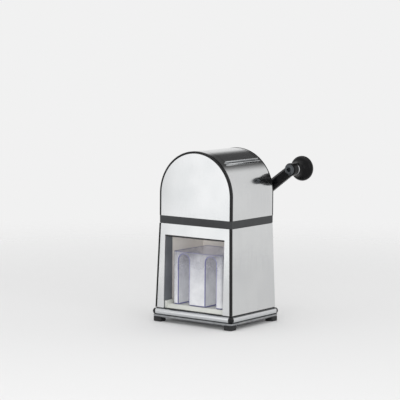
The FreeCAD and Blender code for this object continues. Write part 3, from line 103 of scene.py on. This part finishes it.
def lumps(tree, place, width, detail=2.0, height=None):
    """A random pattern, from 0 to 1, of lumps so many millimetres wide. They are as high as they
    are wide unless a height is given."""
    scale = tuple(1 / (size * MM) for size in (width, width, height or width))
    place = add_node(tree, "Mapping", Vector=place, Scale=scale)
    return add_node(tree, "TexNoise", Vector=place, Scale=1.0, Detail=detail).outputs["Fac"]


def drifting(tree, pattern, first, second, span=PATTERN_SPAN):
    """A colour that drifts from one to another as a pattern goes over its span."""
    share = add_node(tree, "MapRange", Value=pattern, From_Min=span[0], From_Max=span[1])
    return add_node(
        tree, "Mix", {"data_type": "RGBA"}, _0=share, _6=first, _7=second).outputs[2]


def surface(tree, gloss, roughness, relief, depth, **shader):
    """A shader whose roughness runs between two values with the pattern gloss. The pattern relief
    stands out from it by a depth in millimetres."""
    roughness = add_node(
        tree, "MapRange", Value=gloss, From_Min=PATTERN_SPAN[0], From_Max=PATTERN_SPAN[1],
        To_Min=roughness[0], To_Max=roughness[1])
    relief = add_node(tree, "Bump", Height=relief, Distance=depth * MM)
    return add_node(tree, "BsdfPrincipled", Roughness=roughness, Normal=relief, **shader)


def give(material, *names):
    """Puts one material on the named carried nodes."""
    for name in names:
        mesh = NODES[name].data
        mesh.materials.clear()
        mesh.materials.append(material)
        for polygon in mesh.polygons:
            polygon.material_index = 0


# --- Materials --------------------------------------------------------------------------------


def polished_stainless(colour):
    """Mirror polished stainless sheet: clear reflections that wander slightly with the sheet."""
    material, tree, place = new_material("polished_stainless")
    sheet = lumps(tree, place, width=45, detail=1)
    scuffs = lumps(tree, place, width=0.9, detail=3, height=14)
    colour = drifting(tree, sheet, colour, linear("#DFE0E1"))
    steel = surface(tree, gloss=scuffs, roughness=(0.10, 0.15), relief=sheet,
                    depth=0.10, Base_Color=colour, Metallic=1.0)
    add_node(tree, "OutputMaterial", Surface=steel)
    return material


def bright_stainless(colour):
    """Bright rolled stainless sheet: a mirror with faint upright rolling lines that grey it."""
    material, tree, place = new_material("bright_stainless")
    # Real rolling lines are a tenth of a millimetre across, and are drawn at one to show.
    lines = lumps(tree, place, width=1, detail=3, height=90)
    sheet = lumps(tree, place, width=60, detail=1)
    # The sum of two patterns has its middle at 1, and most of it lies near there.
    tone = add_node(tree, "Math", "ADD", _0=lines, _1=sheet)
    colour = drifting(tree, tone, colour, linear("#D9DADA"), span=(0.7, 1.3))
    steel = surface(tree, gloss=lines, roughness=(0.09, 0.15), relief=sheet,
                    depth=0.03, Base_Color=colour, Metallic=1.0)
    add_node(tree, "OutputMaterial", Surface=steel)
    return material


def chrome_plate(colour):
    """Bright chrome plate on a moulding: a hard mirror with a faint swell from the mould."""
    material, tree, place = new_material("chrome_plate")
    swell = lumps(tree, place, width=18, detail=1)
    haze = lumps(tree, place, width=2.5)
    chrome = surface(tree, gloss=haze, roughness=(0.05, 0.11), relief=swell,
                     depth=0.05, Base_Color=colour, Metallic=1.0)
    add_node(tree, "OutputMaterial", Surface=chrome)
    return material


def rolled_steel(colour):
    """Plain rolled steel: a dull grey sheen with cloudy patches."""
    material, tree, place = new_material("rolled_steel")
    clouds = lumps(tree, place, width=9, detail=4)
    # Real grain is a few hundredths of a millimetre across, and is drawn coarser to show.
    grain = lumps(tree, place, width=0.6)
    colour = drifting(tree, clouds, colour, linear("#A9ABAD"))
    steel = surface(tree, gloss=clouds, roughness=(0.30, 0.45), relief=grain,
                    depth=0.006, Base_Color=colour, Metallic=1.0)
    add_node(tree, "OutputMaterial", Surface=steel)
    return material


def zinc_plate(colour):
    """Blue zinc plate on turned steel: pale and satin, in a film of uneven thickness."""
    material, tree, place = new_material("zinc_plate")
    film = lumps(tree, place, width=1.5)
    # The crystals of real zinc are too fine to see, and are drawn at half a millimetre.
    grain = lumps(tree, place, width=0.5)
    colour = drifting(tree, film, colour, linear("#C6CAD0"))
    zinc = surface(tree, gloss=film, roughness=(0.20, 0.32), relief=grain,
                   depth=0.004, Base_Color=colour, Metallic=1.0)
    add_node(tree, "OutputMaterial", Surface=zinc)
    return material


def black_abs(name, colour, ior):
    """Black ABS moulding: deep, semi-gloss, with the faint orange peel of a polished mould."""
    material, tree, place = new_material(name)
    peel = lumps(tree, place, width=1.6)
    wear = lumps(tree, place, width=22, detail=3)
    colour = drifting(tree, wear, colour, linear("#0C0C0E"))
    abs_plastic = surface(tree, gloss=wear, roughness=(0.18, 0.30), relief=peel,
                          depth=0.012, Base_Color=colour, IOR=ior)
    add_node(tree, "OutputMaterial", Surface=abs_plastic)
    return material


def charcoal_abs(colour):
    """Charcoal ABS moulding: like the black, in a softer grey and a little less glossy."""
    material, tree, place = new_material("charcoal_abs")
    # Real mould grain is about a tenth of a millimetre across, and is drawn coarser to show.
    grain = lumps(tree, place, width=0.8)
    clouds = lumps(tree, place, width=30)
    colour = drifting(tree, clouds, colour, linear("#2C2E30"))
    abs_plastic = surface(tree, gloss=grain, roughness=(0.32, 0.42), relief=grain,
                          depth=0.008, Base_Color=colour, IOR=1.46)
    add_node(tree, "OutputMaterial", Surface=abs_plastic)
    return material


def spark_grained_polypropylene(name, colour, light, roughness):
    """Moulded polypropylene with a fine spark eroded grain, which breaks its highlights up."""
    material, tree, place = new_material(name)
    # Real spark grain is about a tenth of a millimetre across, and is drawn coarser to show.
    grain = lumps(tree, place, width=0.7)
    clouds = lumps(tree, place, width=26)
    colour = drifting(tree, clouds, colour, linear(light))
    plastic = surface(tree, gloss=grain, roughness=roughness, relief=grain,
                      depth=0.015, Base_Color=colour, IOR=1.49)
    add_node(tree, "OutputMaterial", Surface=plastic)
    return material


def moulded_rubber(colour):
    """Black moulded rubber: matt, with a dusty grain."""
    material, tree, place = new_material("moulded_rubber")
    # The real grain is about a tenth of a millimetre across, and is drawn coarser to show.
    grain = lumps(tree, place, width=0.5, detail=3)
    colour = drifting(tree, grain, colour, linear("#232325"))
    rubber = surface(tree, gloss=grain, roughness=(0.6, 0.8), relief=grain,
                     depth=0.03, Base_Color=colour, IOR=1.52)
    add_node(tree, "OutputMaterial", Surface=rubber)
    return material


def cast_stainless(colour):
    """Investment cast stainless: satin, with the slight pitting of the mould."""
    material, tree, place = new_material("cast_stainless")
    pits = lumps(tree, place, width=0.9, detail=4)
    steel = surface(tree, gloss=pits, roughness=(0.26, 0.42), relief=pits,
                    depth=0.03, Base_Color=colour, Metallic=1.0)
    add_node(tree, "OutputMaterial", Surface=steel)
    return material


def sintered_bronze(colour):
    """Sintered bronze bush: porous and oily, a warm dull shine."""
    material, tree, place = new_material("sintered_bronze")
    # Real pores are about a twentieth of a millimetre across, and are drawn coarser to show.
    pores = lumps(tree, place, width=0.35, detail=3)
    colour = drifting(tree, pores, linear("#7C5F2F"), colour)
    bronze = surface(tree, gloss=pores, roughness=(0.3, 0.5), relief=pores,
                     depth=0.01, Base_Color=colour, Metallic=1.0)
    add_node(tree, "OutputMaterial", Surface=bronze)
    return material


def clear_san(colour, painted_glow_colour, details):
    """Clear SAN, misted by cold, thickly at the foot and hardly at the rim. Its edges carry a
    painted glow: they are coloured violet to stand in for the light that runs inside the clear
    sheet and comes out where the sheet ends."""
    low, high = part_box("ice_container")
    material, tree, place = new_material("clear_san")
    crystals = lumps(tree, place, width=1.1, detail=3)
    drifts = lumps(tree, place, width=16, detail=3)
    at = add_node(tree, "SeparateXYZ", Vector=place).outputs
    edge = container_edges(tree, at, details)
    # Painted glow: the edges drift to a violet that stands in for light coming out of the sheet's
    # ends.
    colour = drifting(tree, edge, colour, painted_glow_colour, span=(0, 1))
    misted = surface(tree, gloss=crystals, roughness=(0.12, 0.30), relief=crystals,
                     depth=0.02, Base_Color=colour, IOR=1.57)
    clear = add_node(tree, "BsdfTransparent", Color=linear("#F8F8FB"))
    settled = add_node(
        tree, "MapRange", Value=at["Z"], From_Min=low[2], From_Max=high[2],
        To_Min=details.mist_foot, To_Max=details.mist_rim)
    patches = add_node(
        tree, "MapRange", Value=drifts, From_Min=PATTERN_SPAN[0], From_Max=PATTERN_SPAN[1],
        To_Max=details.mist_patches)
    mist = add_node(tree, "Math", "ADD", _0=settled, _1=patches)
    solid = add_node(tree, "Math", "MAXIMUM", _0=mist, _1=edge)
    # Mist scatters light onward, so it casts hardly any shade.
    shadow_ray = add_node(tree, "LightPath").outputs["Is Shadow Ray"]
    stopped = add_node(
        tree, "MapRange", Value=shadow_ray, To_Min=1.0, To_Max=details.mist_shade)
    cover = add_node(tree, "Math", "MULTIPLY", _0=solid, _1=stopped)
    wall = add_node(tree, "MixShader", _0=cover, _1=clear, _2=misted)
    add_node(tree, "OutputMaterial", Surface=wall)
    return material


def container_edges(tree, at, details):
    """1 on the edges of the container's clear sheet, where the violet glow is painted, and 0
    elsewhere. They run round the mouth of each finger recess, along the foot and at the rim."""
    low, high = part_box("ice_container")
    line = details.edge_line
    # Each recess is a straight slot under a half round arch. Its outline lies one radius from its
    # middle line, which ends where the arch begins.
    aside = add_node(tree, "Math", "SUBTRACT", _0=at["X"], _1=(low[0] + high[0]) / 2)
    aside = add_node(tree, "Math", "ABSOLUTE", _0=aside)
    aside = add_node(tree, "Math", "SUBTRACT", _0=aside, _1=details.recess_offset)
    above = add_node(tree, "Math", "SUBTRACT", _0=at["Z"], _1=high[2] - details.recess_drop)
    above = add_node(tree, "Math", "MAXIMUM", _0=above, _1=0.0)
    reach = add_node(tree, "CombineXYZ", X=aside, Y=above)
    reach = add_node(tree, "VectorMath", "LENGTH", _0=reach).outputs["Value"]
    outline = add_node(
        tree, "Math", "COMPARE", _0=reach, _1=details.recess_radius, _2=line / 2)
    front = add_node(tree, "Math", "LESS_THAN", _0=at["Y"], _1=low[1] + line)
    mouth = add_node(tree, "Math", "MULTIPLY", _0=outline, _1=front)
    foot = add_node(tree, "Math", "LESS_THAN", _0=at["Z"], _1=low[2] + line)
    # The painted glow colours the flat top of the rim too, so a shorter line down its wall is
    # enough.
    rim = add_node(tree, "Math", "GREATER_THAN", _0=at["Z"], _1=high[2] - line / 4)
    edge = add_node(tree, "Math", "MAXIMUM", _0=mouth, _1=foot)
    return add_node(tree, "Math", "MAXIMUM", _0=edge, _1=rim)


# --- Settings ---------------------------------------------------------------------------------


def colour_setting(name, description, hex_colour):
    return bpy.props.FloatVectorProperty(
        name=name, description=description, default=linear(hex_colour), size=4, min=0, max=1,
        subtype="COLOR")


def length_setting(name, description, metres):
    return bpy.props.FloatProperty(
        name=name, description=description, default=metres, unit="LENGTH")


def angle_setting(name, description, degrees):
    return bpy.props.FloatProperty(
        name=name, description=description, default=math.radians(degrees), subtype="ANGLE")


def share_setting(name, description, default):
    return bpy.props.FloatProperty(
        name=name, description=description, default=default, min=0, max=1, subtype="FACTOR")


def tone_setting(name, description, default):
    return bpy.props.FloatProperty(name=name, description=description, default=default, min=0)


class CrusherFinishes(bpy.types.PropertyGroup):
    """Colours of the finishes."""
    polished: colour_setting("Polished steel", "Front and back sheets", "#D5D7D8")
    bright: colour_setting("Bright steel", "Side wrap, vault and lid", "#CECFD0")
    chrome: colour_setting("Chrome", "Base moulding, lid lip, ferrule and nut", "#D0D2D4")
    # Painted reflection: the spindle's head is chrome, and this dark colour stands in for the dark
    # surroundings it reflects.
    painted_dark_reflection: colour_setting("Burnished chrome", "Head of the knob's spindle", "#55585B")
    steel: colour_setting("Plain steel", "Pan under the base", "#8E9092")
    zinc: colour_setting("Zinc", "Screws and pins", "#B4B7BA")
    cast: colour_setting("Cast steel", "Rotor, shaft, combs and trough", "#9B9D9F")
    bronze: colour_setting("Bronze", "Bushes", "#A8844A")
    black: colour_setting("Black plastic", "Rims, trims, crank and knob", "#060607")
    charcoal: colour_setting("Charcoal plastic", "Band between the shells", "#222325")
    jamb: colour_setting("Jamb plastic", "Return of the window", "#5F6267")
    liner: colour_setting("Liner plastic", "Walls of the ice bay", "#EBE6DF")
    ivory: colour_setting("Ivory plastic", "Floor tray", "#CCCEC8")
    hopper: colour_setting("Hopper plastic", "Hopper below the lid", "#6A6C6F")
    clear: colour_setting("Clear plastic", "Mist on the ice container", "#E3E4E6")
    # Painted glow: a violet that stands in for the light coming out where the container's clear
    # sheet ends.
    painted_edge_glow: colour_setting("Clear edge", "Edges of the ice container", "#6F6F9C")
    # The edge guard that shares this rubber is painted shade at the window's edges.
    rubber: colour_setting("Rubber", "Feet, gasket and edge guard", "#141415")


class CrusherDetails(bpy.types.PropertyGroup):
    """Sizes of the small details, and how thick the mist is."""
    recess_offset: length_setting("Recess offset", "Container middle to recess middle", 25.5 * MM)
    recess_radius: length_setting("Recess radius", "Half the width of a finger recess", 10.5 * MM)
    recess_drop: length_setting("Recess drop", "Container rim to the start of the arch", 13.5 * MM)
    # The bright edges carry a painted glow of the light coming out of the sheet's ends.
    edge_line: length_setting("Edge line", "Width of the bright edges of the container", 1.7 * MM)
    mist_foot: share_setting("Mist at the foot", "Share of the container's wall it hides", 0.74)
    mist_rim: share_setting("Mist at the rim", "Share of the container's wall it hides", 0.04)
    mist_patches: share_setting("Mist patches", "Most that a patch adds to the mist", 0.18)
    mist_shade: share_setting("Mist shade", "Share of its cover that casts a shadow", 0.2)
    # The edge guard is painted shade: a black strip that stands in for the shade at the window's
    # top and right edges.
    strip_top: length_setting("Guard above", "Edge guard, down from the window head", 3.0 * MM)
    strip_side: length_setting("Guard beside", "Edge guard, in from the window's right", 1.0 * MM)
    strip_depth: length_setting("Guard depth", "Edge guard, front to back", 2.6 * MM)
    strip_inset: length_setting("Guard inset", "Edge guard, behind the front sheet", 1.5 * MM)


class CrusherStudio(bpy.types.PropertyGroup):
    """The floor, the camera and the lights. A tone of 1 is white."""
    floor: colour_setting("Floor", "Colour of the floor", "#F2F2F2")
    floor_fade: length_setting("Floor fade", "Where the floor begins to fade out", 0.35)
    floor_radius: length_setting("Floor radius", "Where the floor has faded out", 1.4)
    yaw: angle_setting("Camera yaw", "Camera to the right of the front", 36.355)
    pitch: angle_setting("Camera pitch", "Camera looking down", 6.053)
    roll: angle_setting("Camera roll", "Camera rolled to the left", 0.486)
    distance: length_setting("Camera distance", "Camera to the point it looks at", 2.7)
    aim: bpy.props.FloatVectorProperty(
        name="Camera aim", description="Point the camera looks at",
        default=(-0.026, -0.0526, 0.1901), subtype="XYZ", unit="LENGTH")
    lens: bpy.props.FloatProperty(
        name="Lens", description="Focal length", default=159.05, unit="CAMERA")
    sky: tone_setting("Sky", "Tone of the soft light all round", 0.72)
    backdrop: tone_setting("Backdrop", "Tone of the sky where it is seen", 0.88)
    flag: bpy.props.FloatVectorProperty(
        name="Flag", description="Direction of the middle of the black flag",
        default=(-0.14, 0.80, 0.58), subtype="DIRECTION")
    flag_core: angle_setting("Flag core", "From its middle to the end of its even part", 11)
    flag_edge: angle_setting("Flag edge", "From its middle to the end of its soft edge", 27)
    flag_tone: tone_setting("Flag tone", "Tone of the black flag", 0.08)
    front_tone: tone_setting("Front softbox", "Tone that it adds to the sky", 0.27)
    top_tone: tone_setting("Top softbox", "Tone that it adds to the sky", 0.45)
    right_tone: tone_setting("Right softbox", "Tone that it adds to the sky", 0.5)
    fill_tone: tone_setting("Fill", "Tone of the lamp that fills the ice bay", 4.6)


# --- Operators --------------------------------------------------------------------------------


class CRUSHER_OT_finish_base(bpy.types.Operator):
    """Finishes the base, its pan, feet and gasket"""
    bl_idname = "crusher.finish_base"
    bl_label = "Finish base"

    def execute(self, context):
        colours = context.scene.crusher_finishes
        give(chrome_plate(colours.chrome), "base_frame")
        give(rolled_steel(colours.steel), "base_pan")
        give(moulded_rubber(colours.rubber), "feet", "seam_gasket")
        return {"FINISHED"}


class CRUSHER_OT_finish_housing(bpy.types.Operator):
    """Finishes the sheets, rims and trims of the housing, the lid, the crank and the knob"""
    bl_idname = "crusher.finish_housing"
    bl_label = "Finish housing and crank"

    def execute(self, context):
        colours = context.scene.crusher_finishes
        give(polished_stainless(colours.polished), "window_panel", "upper_front_panel",
             "upper_back_panel")
        give(bright_stainless(colours.bright), "lower_shell", "vault_cover", "lid")
        # Clean ABS has an IOR of 1.54. Both are lower, to keep the blacks deep under a pale sky.
        give(black_abs("black_abs_trim", colours.black, 1.36), "base_corner_caps", "corner_trims",
             "front_rim", "rear_rim", "escutcheon")
        give(black_abs("black_abs_handle", colours.black, 1.25), "crank_arm", "knob_grip")
        give(charcoal_abs(colours.charcoal), "chassis")
        give(chrome_plate(colours.chrome), "lid_lip", "knob_ferrule", "hub_nut")
        # Painted reflection: the chrome head is darkened to stand in for the dark surroundings it
        # reflects.
        give(chrome_plate(colours.painted_dark_reflection), "knob_spindle")
        return {"FINISHED"}


class CRUSHER_OT_finish_bay(bpy.types.Operator):
    """Finishes the ice bay, its tray and container, and the hopper"""
    bl_idname = "crusher.finish_bay"
    bl_label = "Finish ice bay"

    def execute(self, context):
        colours = context.scene.crusher_finishes
        for node, name, colour, light, roughness in (
            ("window_jamb", "jamb_polypropylene", colours.jamb, "#6B6E72", (0.35, 0.5)),
            ("bay_liner", "liner_polypropylene", colours.liner, "#F1EDE7", (0.35, 0.5)),
            ("floor_tray", "tray_polypropylene", colours.ivory, "#D6D7D1", (0.3, 0.45)),
            ("hopper", "hopper_polypropylene", colours.hopper, "#77797C", (0.35, 0.5)),
        ):
            give(spark_grained_polypropylene(name, colour, light, roughness), node)
        give(clear_san(colours.clear, colours.painted_edge_glow, context.scene.crusher_details),
             "ice_container")
        return {"FINISHED"}


class CRUSHER_OT_make_shade_strip(bpy.types.Operator):
    """Makes a black strip on the top and right edges of the window, as painted shade there"""
    bl_idname = "crusher.make_edge_guard"
    bl_label = "Make edge guard"

    def execute(self, context):
        dark_strip = shade_strip(context.scene.crusher_details)
        # The strip is given the black rubber so that it reads as the shade at the window's edges.
        dark_strip.data.materials.append(moulded_rubber(context.scene.crusher_finishes.rubber))
        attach(dark_strip, "housing")
        return {"FINISHED"}


def shade_strip(details):
    """A rounded black strip, painted shade at the window's edges, that runs along the window head,
    turns at its corner and goes down the right side to the tray. It leans back with the front
    sheet."""
    low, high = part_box("window_jamb")
    tray_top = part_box("floor_tray")[1][2]
    wall = JAMB_WALL * MM
    head, right, left = high[2] - wall, high[0] - wall, low[0] + wall
    lean = JAMB_LEAN * MM / (high[2] - low[2])
    form = bmesh.new()
    rings = ([], [], [])
    for inward, back in SHADE_STRIP_SECTION:
        under = head - inward * details.strip_top
        beside = right - inward * details.strip_side
        behind = low[1] + details.strip_inset + back * details.strip_depth
        for ring, (x, z) in zip(rings, ((left, under), (beside, under), (beside, tray_top))):
            ring.append(form.verts.new((x, behind + lean * (z - low[2]), z)))
    for first, second in zip(rings, rings[1:]):
        for i in range(len(SHADE_STRIP_SECTION)):
            j = (i + 1) % len(SHADE_STRIP_SECTION)
            form.faces.new((first[i], first[j], second[j], second[i]))
    form.faces.new(rings[0][::-1])
    form.faces.new(rings[-1])
    bmesh.ops.recalc_face_normals(form, faces=form.faces)
    return new_object("window_shade_strip", form)


def new_object(name, form):
    """Puts a finished form in the scene."""
    mesh = bpy.data.meshes.new(name)
    form.to_mesh(mesh)
    form.free()
    piece = bpy.data.objects.new(name, mesh)
    bpy.context.scene.collection.objects.link(piece)
    return piece


class CRUSHER_OT_finish_works(bpy.types.Operator):
    """Finishes the crushing unit, its bushes, the screws and the pins"""
    bl_idname = "crusher.finish_works"
    bl_label = "Finish crushing unit"

    def execute(self, context):
        colours = context.scene.crusher_finishes
        give(cast_stainless(colours.cast), "crusher_trough", "breaker_comb_left",
             "breaker_comb_right", "crusher_rotor", "rotor_shaft")
        give(zinc_plate(colours.zinc), "foot_screws", "trough_screws", "plate_screws", "drive_pin",
             "hinge_pin")
        give(sintered_bronze(colours.bronze), "front_bush", "rear_bush")
        return {"FINISHED"}


class CRUSHER_OT_stage(bpy.types.Operator):
    """Makes the floor, the lights and the camera"""
    bl_idname = "crusher.stage"
    bl_label = "Stage"

    def execute(self, context):
        studio = context.scene.crusher_studio
        make_floor(studio)
        make_world(context.scene, studio)
        make_lights(studio)
        make_camera(context.scene, studio)
        context.scene.view_settings.view_transform = "Standard"
        return {"FINISHED"}


def make_floor(studio):
    """Seamless paper that fades into the sky with distance, so that no horizon shows."""
    form = bmesh.new()
    bmesh.ops.create_circle(form, cap_ends=True, segments=FLOOR_SIDES, radius=studio.floor_radius)
    floor = new_object("floor", form)
    material, tree, place = new_material("seamless_paper")
    away = add_node(tree, "VectorMath", "LENGTH", _0=place).outputs["Value"]
    fade = add_node(tree, "MapRange", {"interpolation_type": "SMOOTHSTEP"}, Value=away,
                    From_Min=studio.floor_fade, From_Max=studio.floor_radius)
    paper = add_node(tree, "BsdfPrincipled", Base_Color=studio.floor, Roughness=0.9)
    clear = add_node(tree, "BsdfTransparent")
    mix = add_node(tree, "MixShader", _0=fade, _1=paper, _2=clear)
    add_node(tree, "OutputMaterial", Surface=mix)
    floor.data.materials.append(material)


def make_world(scene, studio):
    """A pale sky that lights softly. A black flag hangs in it, high behind the object, which only
    what shines or is clear can see."""
    world = bpy.data.worlds.new("soft_sky")
    world.use_nodes = True
    tree = world.node_tree
    tree.nodes.clear()
    path = add_node(tree, "LightPath").outputs
    shiny = add_node(
        tree, "Math", "MAXIMUM", _0=path["Is Glossy Ray"], _1=path["Is Transmission Ray"])
    towards = add_node(tree, "TexCoord").outputs["Generated"]
    middle = Vector(studio.flag).normalized()
    to_flag = add_node(tree, "VectorMath", "DOT_PRODUCT", _0=towards, _1=middle).outputs["Value"]
    flagged = add_node(
        tree, "MapRange", {"interpolation_type": "SMOOTHSTEP"}, Value=to_flag,
        From_Min=math.cos(studio.flag_edge), From_Max=math.cos(studio.flag_core),
        To_Min=studio.backdrop, To_Max=studio.flag_tone)
    plain = add_node(tree, "MapRange", Value=path["Is Camera Ray"],
                     To_Min=studio.sky, To_Max=studio.backdrop)
    tone = add_node(tree, "Mix", _0=shiny, _2=plain, _3=flagged)
    sky = add_node(tree, "Background", Color=(1, 1, 1, 1), Strength=tone)
    add_node(tree, "OutputWorld", Surface=sky)
    scene.world = world


def make_softbox(name, place, aim, width, height, tone, seen=True):
    """A soft box that faces a point. Seen in a mirror, it adds its tone to the sky behind it. One
    that is not seen only fills the shade."""
    lamp = bpy.data.lights.new(name, "AREA")
    lamp.shape = "RECTANGLE"
    lamp.size = width
    lamp.size_y = height
    lamp.energy = WATTS_PER_TONE * tone * width * height
    light = bpy.data.objects.new(name, lamp)
    light.location = place
    light.rotation_euler = (Vector(aim) - Vector(place)).to_track_quat("-Z", "Y").to_euler()
    light.visible_glossy = seen
    bpy.context.scene.collection.objects.link(light)


def make_lights(studio):
    """Big soft boxes before, above and beside the object, and a fill that reaches into the bay."""
    make_softbox("front_softbox", place=(-0.32, -1.56, 0.5), aim=(0.54, -0.39, 0.5),
                 width=1.4, height=1.2, tone=studio.front_tone)
    make_softbox("top_softbox", place=(0.1, 0.1, 2.2), aim=(0, 0, 0.1),
                 width=2.0, height=2.0, tone=studio.top_tone)
    make_softbox("right_softbox", place=(2.3, -0.6, 1.2), aim=(0, 0, 0.15),
                 width=1.4, height=1.8, tone=studio.right_tone)
    make_softbox("front_fill", place=(0.95, -1.7, 0.25), aim=(-0.02, 0, 0.1),
                 width=1.2, height=0.8, tone=studio.fill_tone, seen=False)


def make_camera(scene, studio):
    """A long lens a little above the object, to the right of its front."""
    lens = bpy.data.cameras.new("camera")
    lens.lens = studio.lens
    camera = bpy.data.objects.new("camera", lens)
    scene.collection.objects.link(camera)
    turned = (Matrix.Rotation(studio.yaw, 4, "Z")
              @ Matrix.Rotation(math.pi / 2 - studio.pitch, 4, "X")
              @ Matrix.Rotation(studio.roll, 4, "Z"))
    back = turned @ Vector((0, 0, studio.distance))
    camera.matrix_world = Matrix.Translation(Vector(studio.aim) + back) @ turned
    scene.camera = camera


# --- Panel and registration -------------------------------------------------------------------


class CRUSHER_PT_sidebar(bpy.types.Panel):
    """Lists the settings, the finishes and the stage"""
    bl_label = "Ice crusher"
    bl_space_type = "VIEW_3D"
    bl_region_type = "UI"
    bl_category = "Crusher"

    def draw(self, context):
        scene = context.scene
        for settings in (scene.crusher_finishes, scene.crusher_details, scene.crusher_studio):
            for name in settings.__annotations__:
                self.layout.prop(settings, name)
        for operator in OPERATORS:
            self.layout.operator(operator.bl_idname)


OPERATORS = (
    CRUSHER_OT_finish_base,
    CRUSHER_OT_finish_housing,
    CRUSHER_OT_finish_bay,
    CRUSHER_OT_make_shade_strip,
    CRUSHER_OT_finish_works,
    CRUSHER_OT_stage,
)
CLASSES = (CrusherFinishes, CrusherDetails, CrusherStudio, *OPERATORS, CRUSHER_PT_sidebar)


def register():
    for cls in CLASSES:
        bpy.utils.register_class(cls)
    bpy.types.Scene.crusher_finishes = bpy.props.PointerProperty(type=CrusherFinishes)
    bpy.types.Scene.crusher_details = bpy.props.PointerProperty(type=CrusherDetails)
    bpy.types.Scene.crusher_studio = bpy.props.PointerProperty(type=CrusherStudio)


def unregister():
    del bpy.types.Scene.crusher_studio
    del bpy.types.Scene.crusher_details
    del bpy.types.Scene.crusher_finishes
    for cls in reversed(CLASSES):
        bpy.utils.unregister_class(cls)


def main():
    register()
    bpy.ops.crusher.finish_base()
    bpy.ops.crusher.finish_housing()
    bpy.ops.crusher.finish_bay()
    bpy.ops.crusher.make_edge_guard()
    bpy.ops.crusher.finish_works()
    bpy.ops.crusher.stage()


if __name__ == "__main__":
    main()
